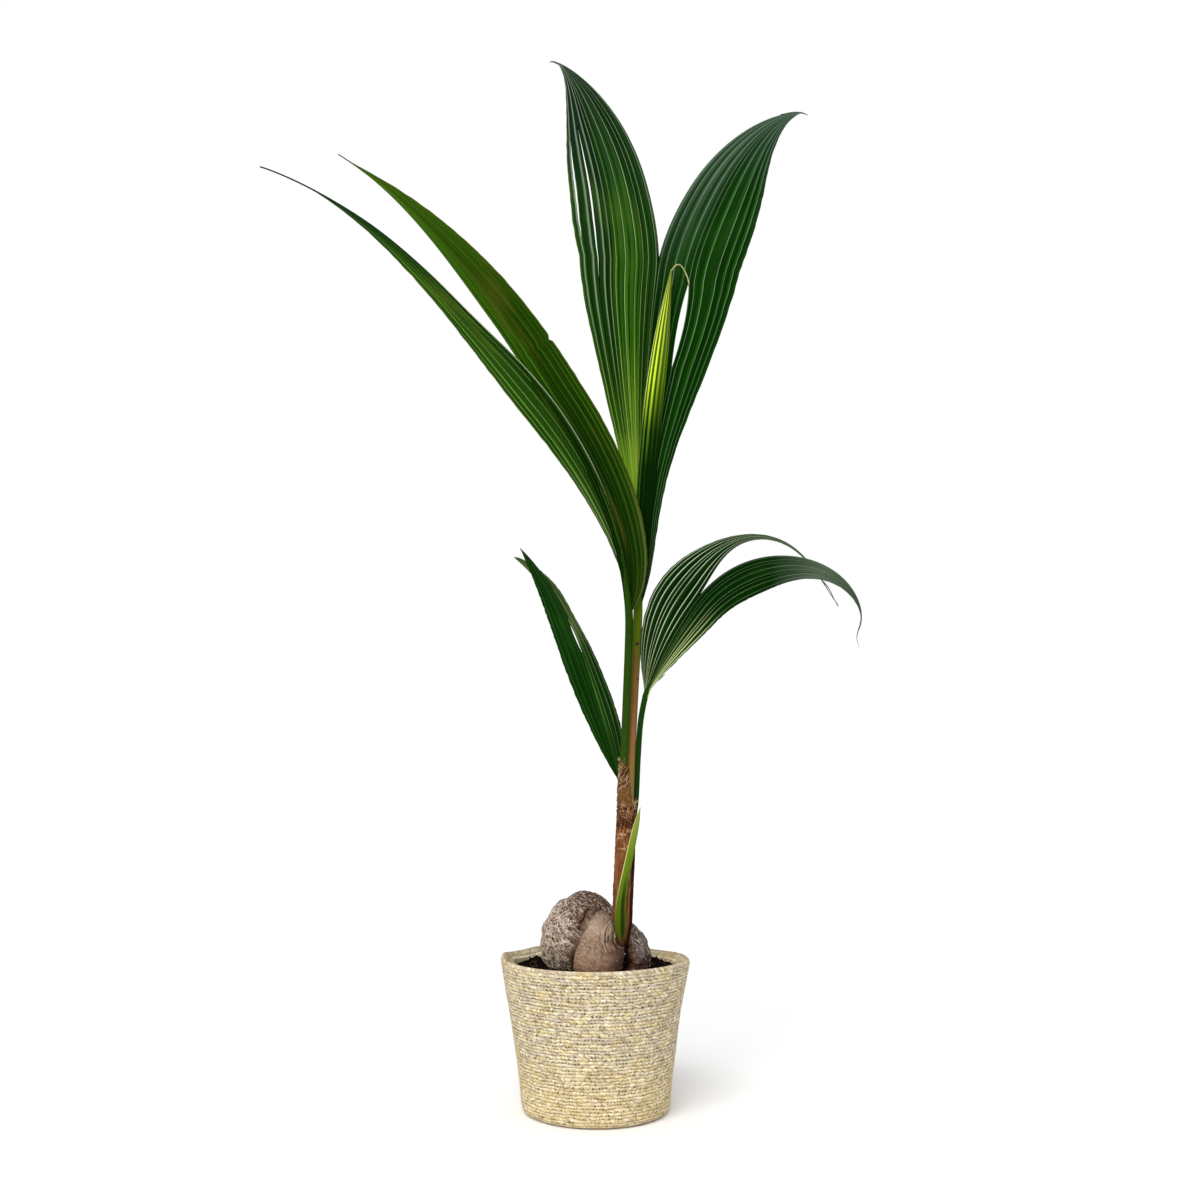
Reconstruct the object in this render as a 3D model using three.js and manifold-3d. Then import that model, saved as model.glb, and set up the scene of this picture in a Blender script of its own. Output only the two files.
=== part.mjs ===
// Potted coconut palm: a sprouted nut half sunk in a seagrass basket of soil, with one short stem,
// four stalked leaves of two half blades each, a bladeless first leaf and a folded spear leaf.
// Millimetres, +Z up, +X to the right and -Y to the front.
// The origin is the centre of the basket's underside.

import * as THREE from "three";
import { mergeVertices } from "three/addons/utils/BufferGeometryUtils.js";
import Module from "manifold-3d";

const wasm = await Module();
wasm.setup();

// Basket and soil.
const BASKET_HEIGHT = 171;
const BASKET_RIM_RADIUS = 110;
const BASKET_FOOT_RADIUS = 85;
const BASKET_WALL = 8;
const BASKET_FLOOR = 8;
const BASKET_FOOT_ROUND = 7;
const SOIL_LEVEL = 159;
const SOIL_CROWN = 3;

// Clearance between pieces that touch, and between a half blade and its rachis.
const GAP = 0.4;
const BLADE_GAP = 0.6;

// Nut: three rounded lobes that meet in creases, seen from one point inside all of them.
const NUT_CENTRE = new THREE.Vector3(0, 0, 158);
const NUT_LOBES = [
  { centre: new THREE.Vector3(-16, 12, 166), half: new THREE.Vector3(48, 48, 79) },
  { centre: new THREE.Vector3(5, -24, 160), half: new THREE.Vector3(32, 34, 74) },
  { centre: new THREE.Vector3(28, 10, 150), half: new THREE.Vector3(37, 44, 62) },
];
const CREASE_SHARPNESS = 22;

// Stem: a lower part wrapped in old leaf sheaths, and a slimmer upper part above a shoulder.
const STEM_FOOT = new THREE.Vector3(31, -15, 176);
const STEM_SHOULDER = new THREE.Vector3(37.3, -2.2, 344.6);
const STEM_NECK = new THREE.Vector3(37.3, -2.2, 345.4);
const STEM_TOP = new THREE.Vector3(37.2, -3, 393);
const STEM_RADIUS = 12.2;
const NECK_RADIUS = 8.6;

// Leaves. A lean has a side angle from upright, positive to the right, and a fore angle to the front.
// The rachis starts at the blade's foot and turns evenly; each half blade's inner edge follows it, and then
// turns on to its own lean. A hand of 1 puts the half blade to the right of the rachis, and -1 to the left.
// The roll swings the half blade to the front from the picture plane, at its foot and at its tip.
const FRONT_LEAF = {
  name: "front_leaf",
  stalk: [
    new THREE.Vector3(33.6, -6.5, 393.6),
    new THREE.Vector3(36.6, -7.6, 460),
    new THREE.Vector3(39.2, -8.3, 525),
  ],
  stalkRadius: 3.4,
  foot: new THREE.Vector3(39.7, -9, 562.6),
  rachis: { length: 254, side: [-3.4, -37.3], fore: [6, 18], tipRadius: 1.1 },
  upperSide: -1,
  blades: [
    {
      name: "outer_blade",
      hand: -1,
      length: 417,
      lean: { side: -85, fore: 30, bend: 0.93, ease: 0.5 },
      roll: [-30, -30],
      width: 36.5,
      taper: { foot: 2, tip: 2.8 },
      footWidth: 0,
    },
    {
      name: "inner_blade",
      hand: 1,
      length: 367,
      lean: { side: -60, fore: 12, bend: 5, ease: 1.5 },
      roll: [-8, -35],
      width: 48.5,
      taper: { foot: 2.3, tip: 1.65 },
      footWidth: 29,
    },
  ],
};
const TALL_LEAF = {
  name: "tall_leaf",
  stalk: [
    new THREE.Vector3(41.4, 0.5, 393.6),
    new THREE.Vector3(44.8, 3, 460),
    new THREE.Vector3(49.4, 5.4, 530),
  ],
  stalkRadius: 4.4,
  foot: new THREE.Vector3(50.6, 6, 567.4),
  rachis: { length: 417, side: [-0.2, 7.2], fore: [0, -5], tipRadius: 1.2 },
  upperSide: 1,
  blades: [
    {
      name: "left_blade",
      hand: -1,
      length: 352,
      lean: { side: -65, fore: -20, bend: 0.64, ease: 0.5 },
      roll: [25, 15],
      width: 108,
      taper: { foot: 2.37, tip: 1.31 },
      footWidth: 0,
    },
    {
      name: "right_blade",
      hand: 1,
      length: 323,
      lean: { side: 95, fore: -18, bend: 0.81, ease: 0.5 },
      roll: [30, 15],
      width: 105,
      taper: { foot: 2.3, tip: 1.31 },
      footWidth: 15,
    },
  ],
};
const ARCHING_LEAF = {
  name: "arching_leaf",
  stalk: [
    new THREE.Vector3(47.6, 4.9, 346),
    new THREE.Vector3(50, 3, 395),
    new THREE.Vector3(53, -0.6, 437),
  ],
  stalkRadius: 3.3,
  foot: new THREE.Vector3(58.3, -4, 466),
  rachis: { length: 125, side: [18.9, 34.5], fore: [8, 16], tipRadius: 0.9 },
  upperSide: 1,
  blades: [
    {
      name: "rear_blade",
      hand: -1,
      length: 229,
      lean: { side: 146, fore: -8, bend: 2.8, ease: 4.6 },
      roll: [-15, -60],
      width: 55,
      taper: { foot: 1.7, tip: 3.4 },
      footWidth: 0,
      cut: 0.68,
    },
    {
      name: "front_blade",
      hand: 1,
      length: 270,
      lean: { side: 222, fore: 30, bend: 0.96, ease: 0.6 },
      roll: [30, 20],
      width: 44,
      taper: { foot: 1.56, tip: 1.72 },
      footWidth: 0,
      cut: 0.62,
    },
  ],
};
const LOW_LEAF = {
  name: "low_leaf",
  stalk: [new THREE.Vector3(28.8, 7.2, 346), new THREE.Vector3(30.4, 7.4, 356)],
  stalkRadius: 2.8,
  foot: new THREE.Vector3(30.4, 8, 367.3),
  rachis: { length: 168, side: [-13.8, -19.6], fore: [-10, -20], tipRadius: 0.9 },
  upperSide: 1,
  blades: [
    {
      name: "front_blade",
      hand: -1,
      length: 163,
      lean: { side: -45, fore: -14, bend: 1.4, ease: 1 },
      roll: [25, 15],
      width: 27.5,
      taper: { foot: 0.83, tip: 0.86 },
      footWidth: 0,
    },
    {
      name: "rear_blade",
      hand: 1,
      length: 175,
      lean: { side: -47, fore: -34, bend: 0.74, ease: 1 },
      roll: [-30, -20],
      width: 17,
      taper: { foot: 0.3, tip: 0.45 },
      footWidth: 0,
    },
  ],
};
const LEAVES = [FRONT_LEAF, TALL_LEAF, ARCHING_LEAF, LOW_LEAF];

// Blade section: a lens, thickest at mid width, and bowed towards the leaf's upper side.
const BLADE_THICKNESS_SHARE = 0.0102;
const BLADE_EDGE = 1.2;
const BLADE_LEAST_WIDTH = 1.6;
const BLADE_BOW = 0.06;
const FOOT_WIDTH_AT = 0.12;

// Bladeless first leaf and folded spear leaf: flat spindles along a few points,
// with their greatest half width, its place along them, and their half thickness.
const FIRST_LEAF = {
  points: [
    new THREE.Vector3(28.6, -30.2, 186),
    new THREE.Vector3(31.5, -27.2, 236),
    new THREE.Vector3(40.6, -22.4, 285),
    new THREE.Vector3(52.6, -14, 341),
  ],
  halfWidth: 5.4,
  widestAt: 0.22,
  halfThickness: 1.3,
};
const SPEAR_LEAF = {
  points: [
    new THREE.Vector3(50.8, -0.4, 600),
    new THREE.Vector3(54.5, -4, 690),
    new THREE.Vector3(66, -7, 800),
    new THREE.Vector3(77.5, -8, 890),
    new THREE.Vector3(91.2, -9, 977),
  ],
  halfWidth: 12.5,
  widestAt: 0.64,
  halfThickness: 2,
};
const SPINDLE_TIP_SHARE = 0.12;

// Finishes.
const SEAGRASS = { color: 0xd9cfa4, roughness: 0.9 };
const SOIL = { color: 0x1d1916, roughness: 1 };
const HUSK = { color: 0x84705f, roughness: 0.85 };
const FIBRE_SHEATH = { color: 0x8a5f3c, roughness: 0.85 };
const FIRST_LEAF_GREEN = { color: 0x6f9a26, roughness: 0.5 };
const SPEAR_GREEN = { color: 0xa9c92f, roughness: 0.45 };
const STALK_GREEN = { color: 0x5f7f2b, roughness: 0.5 };
const BLADE_GREEN = { color: 0x2a5a21, roughness: 0.45 };

// Fineness of the round and bent surfaces.
const BASKET_SIDES = 56;
const NUT_SIDES = 32;
const NUT_RINGS = 20;
const LIMB_SIDES = 10;
const STEM_SIDES = 18;
const BLADE_ACROSS = 5;
const BLADE_ALONG = 22;
const BLADE_FEWEST_ROWS = 6;
const PATH_STEPS = 220;
const RACHIS_STEPS = 8;
const LIMB_STEPS_PER_POINT = 2;
const SPINDLE_STEPS_PER_POINT = 4;
const OUTLINE_STEPS = 5;

const FRONT = new THREE.Vector3(0, -1, 0);
const UP_FROM_LATHE = Math.PI / 2;

// One closed surface: shared corners merged and collapsed faces dropped.
function closed(geometry) {
  geometry.deleteAttribute("normal");
  geometry.deleteAttribute("uv");
  const merged = mergeVertices(geometry, 1e-3);
  const corners = merged.index.array;
  const kept = [];
  for (let i = 0; i < corners.length; i += 3) {
    const [a, b, c] = corners.subarray(i, i + 3);
    if (a !== b && b !== c && c !== a) kept.push(a, b, c);
  }
  merged.setIndex(kept);
  return merged;
}

function toManifold(geometry) {
  return new wasm.Manifold(
    new wasm.Mesh({
      numProp: 3,
      vertProperties: new Float32Array(geometry.attributes.position.array),
      triVerts: new Uint32Array(geometry.index.array),
    }),
  );
}

function fromManifold(manifold) {
  const mesh = manifold.getMesh();
  return new THREE.BufferGeometry()
    .setAttribute("position", new THREE.BufferAttribute(mesh.vertProperties, 3))
    .setIndex(new THREE.BufferAttribute(mesh.triVerts, 1));
}

// A solid with each cutter taken away; only the largest piece that is left is kept.
function cutClear(geometry, ...cutters) {
  let solid = toManifold(geometry);
  for (const cutter of cutters) solid = solid.subtract(toManifold(cutter));
  const pieces = solid.decompose();
  pieces.sort((a, b) => b.volume() - a.volume());
  return fromManifold(pieces[0]);
}

// Moves every vertex of a geometry by a rule that returns its new place.
function warp(geometry, rule) {
  const places = geometry.attributes.position;
  const from = new THREE.Vector3();
  for (let i = 0; i < places.count; i++) {
    const to = rule(from.fromBufferAttribute(places, i));
    places.setXYZ(i, to.x, to.y, to.z);
  }
  return closed(geometry);
}

// A limb along a curve with a section given by its half width and half depth at each share of the way.
function limb(points, halfWidthAt, halfDepthAt, sides, steps) {
  const curve = new THREE.CatmullRomCurve3(points);
  const cylinder = new THREE.CylinderGeometry(1, 1, 1, sides, steps);
  return warp(cylinder, (v) => {
    const share = v.y + 0.5;
    const along = curve.getTangent(share);
    const across = new THREE.Vector3().crossVectors(along, FRONT).normalize();
    const front = new THREE.Vector3().crossVectors(across, along);
    return curve
      .getPoint(share)
      .addScaledVector(across, v.x * halfWidthAt(share))
      .addScaledVector(front, v.z * halfDepthAt(share));
  });
}

function leanDirection(side, fore) {
  const s = THREE.MathUtils.degToRad(side);
  const f = THREE.MathUtils.degToRad(fore);
  return new THREE.Vector3(Math.sin(s) * Math.cos(f), -Math.sin(f), Math.cos(s) * Math.cos(f));
}

// Direction of a leaf's inner edge at a distance from the blade's foot.
function edgeDirection(rachis, blade, distance) {
  const onRachis = Math.min(distance / rachis.length, 1);
  const onBlade = THREE.MathUtils.clamp((distance - rachis.length) / blade.length, 0, 1);
  const turn = 1 - (1 - onBlade ** blade.lean.bend) ** blade.lean.ease;
  const side = THREE.MathUtils.lerp(...rachis.side, onRachis);
  const fore = THREE.MathUtils.lerp(...rachis.fore, onRachis);
  return leanDirection(
    side + (blade.lean.side - rachis.side[1]) * turn,
    fore + (blade.lean.fore - rachis.fore[1]) * turn,
  );
}

// Inner edge of a half blade as evenly spaced stations from its foot to its tip.
function innerEdge(leaf, blade) {
  const step = (leaf.rachis.length + blade.length) / PATH_STEPS;
  const stations = [];
  const place = leaf.foot.clone();
  let along = edgeDirection(leaf.rachis, blade, 0);
  for (let i = 0; i <= PATH_STEPS; i++) {
    stations.push({ place: place.clone(), along });
    const next = edgeDirection(leaf.rachis, blade, (i + 1) * step);
    place.addScaledVector(along, step / 2).addScaledVector(next, step / 2);
    along = next;
  }
  return stations;
}

function stationAt(stations, share) {
  const at = share * PATH_STEPS;
  const low = Math.min(Math.floor(at), PATH_STEPS - 1);
  const place = stations[low].place.clone().lerp(stations[low + 1].place, at - low);
  const along = stations[low].along.clone().lerp(stations[low + 1].along, at - low).normalize();
  return { place, along };
}

// Width of a half blade at a share of its length: two powers that meet at its widest place, and its foot.
function bladeWidth(blade, share) {
  const widest = blade.taper.foot / (blade.taper.foot + blade.taper.tip);
  const rise = (share / widest) ** blade.taper.foot;
  const fall = ((1 - share) / (1 - widest)) ** blade.taper.tip;
  const foot = (share / FOOT_WIDTH_AT) * Math.exp(1 - share / FOOT_WIDTH_AT);
  return blade.width * rise * fall + blade.footWidth * foot;
}

// The rachis's radius at a share of a half blade's length: it shrinks to its tip at the notch.
function rachisRadius(leaf, blade, share) {
  const reach = (share * (leaf.rachis.length + blade.length)) / leaf.rachis.length;
  return THREE.MathUtils.lerp(leaf.stalkRadius, leaf.rachis.tipRadius, Math.min(reach, 1));
}

// Half blade between two shares of its length: a thin slab bent to its edges.
function bladeSolid(leaf, blade, from, to) {
  const stations = innerEdge(leaf, blade);
  const thickness = (leaf.rachis.length + blade.length) * BLADE_THICKNESS_SHARE;
  const rows = Math.max(BLADE_FEWEST_ROWS, Math.round(BLADE_ALONG * (to - from)));
  const slab = new THREE.BoxGeometry(1, 1, 1, BLADE_ACROSS, rows, 1);
  return warp(slab, (v) => {
    const share = THREE.MathUtils.lerp(from, to, v.y + 0.5);
    const across = v.x + 0.5;
    const { place, along } = stationAt(stations, share);
    const right = new THREE.Vector3().crossVectors(along, FRONT).normalize();
    const front = new THREE.Vector3().crossVectors(right, along);
    const roll = THREE.MathUtils.degToRad(THREE.MathUtils.lerp(...blade.roll, share));
    const out = right.multiplyScalar(blade.hand * Math.cos(roll)).addScaledVector(front, Math.sin(roll));
    const normal = new THREE.Vector3().crossVectors(out, along);
    const inner = rachisRadius(leaf, blade, share) + BLADE_GAP;
    const outer = Math.max(bladeWidth(blade, share), inner + BLADE_LEAST_WIDTH);
    const lens = 4 * across * (1 - across);
    const fullness = Math.sqrt(Math.sin(Math.PI * share));
    const depth = BLADE_EDGE + (thickness - BLADE_EDGE) * lens * fullness;
    const bow = blade.hand * leaf.upperSide * BLADE_BOW * (outer - inner) * lens;
    return place
      .addScaledVector(out, THREE.MathUtils.lerp(inner, outer, across))
      .addScaledVector(normal, v.z * depth + bow);
  });
}

// Stalk and rachis of a leaf as one tapering limb that ends at the notch between the half blades.
function stalkSolid(leaf) {
  const stations = innerEdge(leaf, leaf.blades[0]);
  const notch = leaf.rachis.length / (leaf.rachis.length + leaf.blades[0].length);
  const points = [...leaf.stalk];
  for (let i = 0; i <= RACHIS_STEPS; i++) points.push(stationAt(stations, (notch * i) / RACHIS_STEPS).place);
  const footAt = leaf.stalk.length / (points.length - 1);
  const radiusAt = (share) => {
    const onRachis = Math.max(0, (share - footAt) / (1 - footAt));
    return THREE.MathUtils.lerp(leaf.stalkRadius, leaf.rachis.tipRadius, onRachis);
  };
  return limb(points, radiusAt, radiusAt, LIMB_SIDES, LIMB_STEPS_PER_POINT * (points.length - 1));
}

// A limb's first point, moved down so that a grown copy of the limb also clears its foot.
function lowered(point, grow) {
  return new THREE.Vector3(point.x, point.y, point.z - 2 * grow);
}

function stemSolid(grow = 0) {
  const points = [
    lowered(STEM_FOOT, grow),
    STEM_FOOT.clone().lerp(STEM_SHOULDER, 1 / 3),
    STEM_FOOT.clone().lerp(STEM_SHOULDER, 2 / 3),
    STEM_SHOULDER,
    STEM_NECK,
    STEM_NECK.clone().lerp(STEM_TOP, 1 / 2),
    STEM_TOP,
  ];
  const shoulderAt = points.indexOf(STEM_SHOULDER) / (points.length - 1);
  const neckAt = points.indexOf(STEM_NECK) / (points.length - 1);
  const radiusAt = (share) => {
    const step = THREE.MathUtils.clamp((share - shoulderAt) / (neckAt - shoulderAt), 0, 1);
    return THREE.MathUtils.lerp(STEM_RADIUS, NECK_RADIUS, step) + grow;
  };
  return limb(points, radiusAt, radiusAt, STEM_SIDES, LIMB_STEPS_PER_POINT * (points.length - 1));
}

// A flat spindle: pointed at its tip, and widest at a given share of its length.
function spindleSolid(leaf, grow = 0) {
  const halfWidthAt = (share) => {
    const rise = Math.min(share / leaf.widestAt, 1);
    const fall = Math.min((1 - share) / (1 - leaf.widestAt), 1);
    const swell = Math.sin((Math.PI / 2) * rise) * Math.sin((Math.PI / 2) * fall);
    return leaf.halfWidth * Math.max(swell, SPINDLE_TIP_SHARE) + grow;
  };
  const halfDepthAt = () => leaf.halfThickness + grow;
  const points = [lowered(leaf.points[0], grow), ...leaf.points.slice(1)];
  return limb(points, halfWidthAt, halfDepthAt, LIMB_SIDES, SPINDLE_STEPS_PER_POINT * (points.length - 1));
}

// Distance from the nut's centre to one lobe's surface along a direction.
function lobeReach(lobe, direction) {
  const start = NUT_CENTRE.clone().sub(lobe.centre).divide(lobe.half);
  const heading = direction.clone().divide(lobe.half);
  const a = heading.lengthSq();
  const b = start.dot(heading);
  return (-b + Math.sqrt(b * b - a * (start.lengthSq() - 1))) / a;
}

function nutSolid(grow = 0) {
  const ball = new THREE.SphereGeometry(1, NUT_SIDES, NUT_RINGS).rotateX(UP_FROM_LATHE);
  return warp(ball, (v) => {
    const direction = v.clone().normalize();
    const sum = NUT_LOBES.reduce((total, lobe) => total + lobeReach(lobe, direction) ** CREASE_SHARPNESS, 0);
    return NUT_CENTRE.clone().addScaledVector(direction, sum ** (1 / CREASE_SHARPNESS) + grow);
  });
}

function basketOuterRadius(height) {
  return THREE.MathUtils.lerp(BASKET_FOOT_RADIUS, BASKET_RIM_RADIUS, height / BASKET_HEIGHT);
}

function lathed(outline) {
  return closed(new THREE.LatheGeometry(outline, BASKET_SIDES).rotateX(UP_FROM_LATHE));
}

// Basket: a tapered wall with a rounded foot and a rolled rim, on a flat floor.
function basketSolid() {
  const outline = new THREE.Path();
  const rimRound = BASKET_WALL / 2;
  const rimMiddle = BASKET_RIM_RADIUS - rimRound;
  const rimBase = BASKET_HEIGHT - rimRound;
  outline.moveTo(0, 0);
  outline.lineTo(BASKET_FOOT_RADIUS - BASKET_FOOT_ROUND, 0);
  outline.quadraticCurveTo(BASKET_FOOT_RADIUS, 0, basketOuterRadius(BASKET_FOOT_ROUND), BASKET_FOOT_ROUND);
  outline.lineTo(BASKET_RIM_RADIUS, rimBase);
  outline.absarc(rimMiddle, rimBase, rimRound, 0, Math.PI, false);
  outline.lineTo(basketOuterRadius(BASKET_FLOOR) - BASKET_WALL, BASKET_FLOOR);
  outline.lineTo(0, BASKET_FLOOR);
  return lathed(outline.getPoints(OUTLINE_STEPS));
}

// Soil: fills the basket to just under its rim, and is hollowed where the nut sits.
function soilSolid() {
  const wallAt = (height) => basketOuterRadius(height) - BASKET_WALL - 2 * GAP;
  const bottom = BASKET_FLOOR + GAP;
  const outline = new THREE.Path();
  outline.moveTo(0, bottom);
  outline.lineTo(wallAt(bottom), bottom);
  outline.lineTo(wallAt(SOIL_LEVEL), SOIL_LEVEL);
  outline.quadraticCurveTo(wallAt(SOIL_LEVEL) / 2, SOIL_LEVEL + SOIL_CROWN, 0, SOIL_LEVEL + SOIL_CROWN);
  return cutClear(lathed(outline.getPoints(OUTLINE_STEPS)), nutSolid(GAP));
}

function piece(name, geometry, finish) {
  const mesh = new THREE.Mesh(geometry, new THREE.MeshStandardMaterial({ ...finish, metalness: 0 }));
  mesh.name = name;
  return mesh;
}

// One node for a half blade, or two that meet where it bends over.
function bladePieces(leaf, blade) {
  const name = leaf.name + "_" + blade.name;
  if (!blade.cut) return [piece(name, bladeSolid(leaf, blade, 0, 1), BLADE_GREEN)];
  const halfGap = GAP / (leaf.rachis.length + blade.length);
  return [
    piece(name + "_rise", bladeSolid(leaf, blade, 0, blade.cut - halfGap), BLADE_GREEN),
    piece(name + "_fall", bladeSolid(leaf, blade, blade.cut + halfGap, 1), BLADE_GREEN),
  ];
}

const palm = new THREE.Group();
const nut = cutClear(nutSolid(), stemSolid(GAP), spindleSolid(FIRST_LEAF, GAP));
palm.add(piece("basket", basketSolid(), SEAGRASS));
palm.add(piece("soil", soilSolid(), SOIL));
palm.add(piece("nut", nut, HUSK));
palm.add(piece("stem", stemSolid(), FIBRE_SHEATH));
palm.add(piece("first_leaf", spindleSolid(FIRST_LEAF), FIRST_LEAF_GREEN));
palm.add(piece("spear_leaf", spindleSolid(SPEAR_LEAF), SPEAR_GREEN));
for (const leaf of LEAVES) {
  palm.add(piece(leaf.name + "_stalk", stalkSolid(leaf), STALK_GREEN));
  for (const blade of leaf.blades) palm.add(...bladePieces(leaf, blade));
}

export default palm;
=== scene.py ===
import functools
import math
import random
from types import SimpleNamespace as Part

import bmesh
import bpy
from mathutils import Matrix, Vector, noise


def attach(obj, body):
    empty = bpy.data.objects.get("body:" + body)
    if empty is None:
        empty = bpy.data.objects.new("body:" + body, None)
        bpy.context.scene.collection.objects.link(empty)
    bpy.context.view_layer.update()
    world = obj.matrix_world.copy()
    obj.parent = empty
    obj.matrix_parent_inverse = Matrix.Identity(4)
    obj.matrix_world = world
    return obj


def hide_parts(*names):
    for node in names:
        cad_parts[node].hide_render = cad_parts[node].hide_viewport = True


# Potted coconut palm: a sprouted nut in a braided seagrass basket, with its stem, leaves and soil.
# Shapes are worked out in millimetres, +Z up and -Y to the front, and each finished piece is in metres.
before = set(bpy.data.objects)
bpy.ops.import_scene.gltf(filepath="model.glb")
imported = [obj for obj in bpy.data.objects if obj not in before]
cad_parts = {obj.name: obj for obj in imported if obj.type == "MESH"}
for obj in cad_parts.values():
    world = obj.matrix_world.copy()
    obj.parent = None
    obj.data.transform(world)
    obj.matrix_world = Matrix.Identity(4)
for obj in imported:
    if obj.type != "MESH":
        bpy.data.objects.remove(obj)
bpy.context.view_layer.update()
MM = 0.001
FRONT = Vector((0, -1, 0))
SURFACE_MAP = "surface"
SCRATCH = bpy.data.meshes.new("scratch")

# Basket and soil.
BASKET_HEIGHT = 171
BASKET_RIM_RADIUS = 109
BASKET_FOOT_RADIUS = 83.5
BASKET_WAIST = 2.5
BASKET_WALL = 8
BASKET_FOOT_ROUND = 9
BASKET_FOOT_SHIFT = 1.6
BASKET_ROWS = 45
BASKET_PLAITS = 250
COLUMNS_PER_PLAIT = 3
BASKET_BANDS = 3
FLOOR_RINGS = 16
FLOOR_THICKNESS = 6
RIM_ROUND = 4
LIP_WIDTH = 14
LIP_DROP = 12
LIP_ROWS = 3
STEPS_PER_ROW = 5
LIP_STEPS = 18
INSIDE_STEPS = 12
UNDERSIDE_STEPS = 4
ROW_HEIGHT = (BASKET_HEIGHT - RIM_ROUND) / BASKET_ROWS
ROW_RELIEF = 0.75
PLAIT_RELIEF = 0.22
PLAIT_SLANT = 1.5
ROW_SHIFT = 12.99
ROW_SHIFT_REACH = 437.6
ROW_WANDER = 1.1
SOIL_LEVEL = 158
SOIL_RADIUS = 96
SOIL_SKIRT = 24
SOIL_CRUMBS = 1500
SOIL_SEED = 4

# Nut: three rounded lobes that meet in creases, seen from one point inside all of them.
NUT_CENTRE = Vector((15, -3, 172))
NUT_LOBES = [
    Part(centre=Vector((-16, 12, 186)), half=Vector((46.5, 46, 56)), below=46, shear=0.08, peak=1.9),
    Part(centre=Vector((4.5, -20, 175)), half=Vector((32, 32, 50.5)), below=36, shear=0.06, peak=1.5),
    Part(centre=Vector((39, 6, 168)), half=Vector((25.5, 38, 42)), below=40, shear=0, peak=1.45),
]
CREASE_SHARPNESS = 22
# Grooves in the nut; each one's dark share is how much painted shade lies in it.
NUT_GROOVES = [
    Part(start=Vector((-12, -20, 238)), end=Vector((-21, -32, 208)), width=0.03, depth=1.4, dark=0.78),
    Part(start=Vector((-4, -20, 230)), end=Vector((-3, -22, 227)), width=0.026, depth=1.4, dark=0.7),
    Part(start=Vector((40, -24, 190)), end=Vector((36, -34, 144)), width=0.15, depth=9, dark=1),
]
NUT_FLECKS = 820
NUT_SEED = 11
NUT_MARKS = ("front_lobe", "right_lobe", "crease")

# Stem: centre line and half width from the nut up to the ragged top of its fibre sheath.
STEM_LINE = [(29.5, -20, 176), (32.2, -16, 230), (35.2, -7.5, 288), (37, -2.6, 338), (35, -2.6, 352),
             (33.8, -3.4, 374), (33, -5, 394)]
STEM_HALF_WIDTHS = [12.4, 12.1, 11.9, 11.4, 9.2, 6.6, 5.2]
STEM_LENGTH = 218
STEM_BARE_TURN = 0.235
STEM_FIBRES = 220
STEM_TOP_FIBRES = 64
STEM_COLLAR_FIBRES = 46
STEM_STRAYS = 44
STRAYS_AT_TOP = 20
STEM_SEED = 23


def half_blade(**sizes):
    """A half blade's sizes: whole and without strays, unless they say otherwise."""
    whole = dict(cut=False, overlap=0, slits=[], partings=[], nicks=[])
    return Part(**(whole | dict(inner_stray=[0, 0], margin_stray=[0, 0]) | sizes))


# Leaves. A lean has a side angle from upright, positive to the right, and a fore angle to the front.
# The rachis starts at the blade's foot and turns evenly; each half blade's inner edge follows it, and then
# turns on to its own lean. A hand of 1 puts the half blade to the right of the rachis, and -1 to the left.
# The roll swings the half blade to the front from the picture plane, at its foot and at its tip.
# The strays are how far the two edges bend away from this law, at even steps from the foot to the tip.
FRONT_LEAF = Part(
    name="front_leaf",
    stalk=[(33.4, -5.5, 384), (36.6, -7.6, 460), (39.2, -8.3, 525)],
    stalk_radius=4.6,
    foot=Vector((39.7, -9, 562.6)),
    rachis=Part(length=254, side=(-3.4, -37.3), fore=(6, 18), tip_radius=1.1, set_back=5),
    upper_side=-1,
    blades=[
        half_blade(name="outer_blade", hand=-1, length=417, side=-85, fore=30, bend=0.93, ease=0.5,
                   roll=(-30, -30), width=37.5, foot_taper=2, tip_taper=2.35, foot_width=0, pleats=7, fold=1,
                   overlap=6, inner_stray=[0, -0.5, -1, -0.7, -1, -1.5, 1.5, 0, -2, -1, 0],
                   margin_stray=[0, 2, -1, -5, -3, 0]),
        half_blade(name="inner_blade", hand=1, length=367, side=-60, fore=12, bend=5, ease=1.5,
                   roll=(-8, -35), width=48.5, foot_taper=2.3, tip_taper=1.65, foot_width=26, pleats=8,
                   fold=0.8, overlap=6, margin_stray=[0, 4, 0, -1, -1, 0],
                   nicks=[Part(at=0.521, depth=3.5)]),
    ],
)
TALL_LEAF = Part(
    name="tall_leaf",
    stalk=[(39.2, -2.6, 336), (41.4, 0.5, 393.6), (44.8, 3, 460), (48.8, 5.4, 530)],
    stalk_radius=5.3,
    foot=Vector((50.6, 6, 567.4)),
    rachis=Part(length=417, side=(-0.2, 7.2), fore=(0, -5), tip_radius=1.2, set_back=0),
    upper_side=1,
    blades=[
        half_blade(name="left_blade", hand=-1, length=352, side=-65, fore=-20, bend=0.64, ease=0.5,
                   roll=(25, 15), width=108, foot_taper=2.37, tip_taper=1.31, foot_width=0, pleats=10, fold=1,
                   slits=[Part(across=0.8, start=0.5, end=0.85, width=0.022),
                          Part(across=0.9375, start=0.57, end=0.83, width=0.024)],
                   overlap=3.2, inner_stray=[0, 0, 0, 1, -1, 0],
                   margin_stray=[0, 0, 0, 0, 0, 1.7, 0.5, -2.5, -1, 2, 0]),
        half_blade(name="right_blade", hand=1, length=323, side=95, fore=-18, bend=0.81, ease=0.5,
                   roll=(30, 15), width=105, foot_taper=2.3, tip_taper=1.31, foot_width=19, pleats=10, fold=1,
                   slits=[Part(across=0.4375, start=0.395, end=0.54, width=0.09)],
                   overlap=3.2, margin_stray=[0, -4, 2, 0, 0, 0]),
    ],
)
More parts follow.
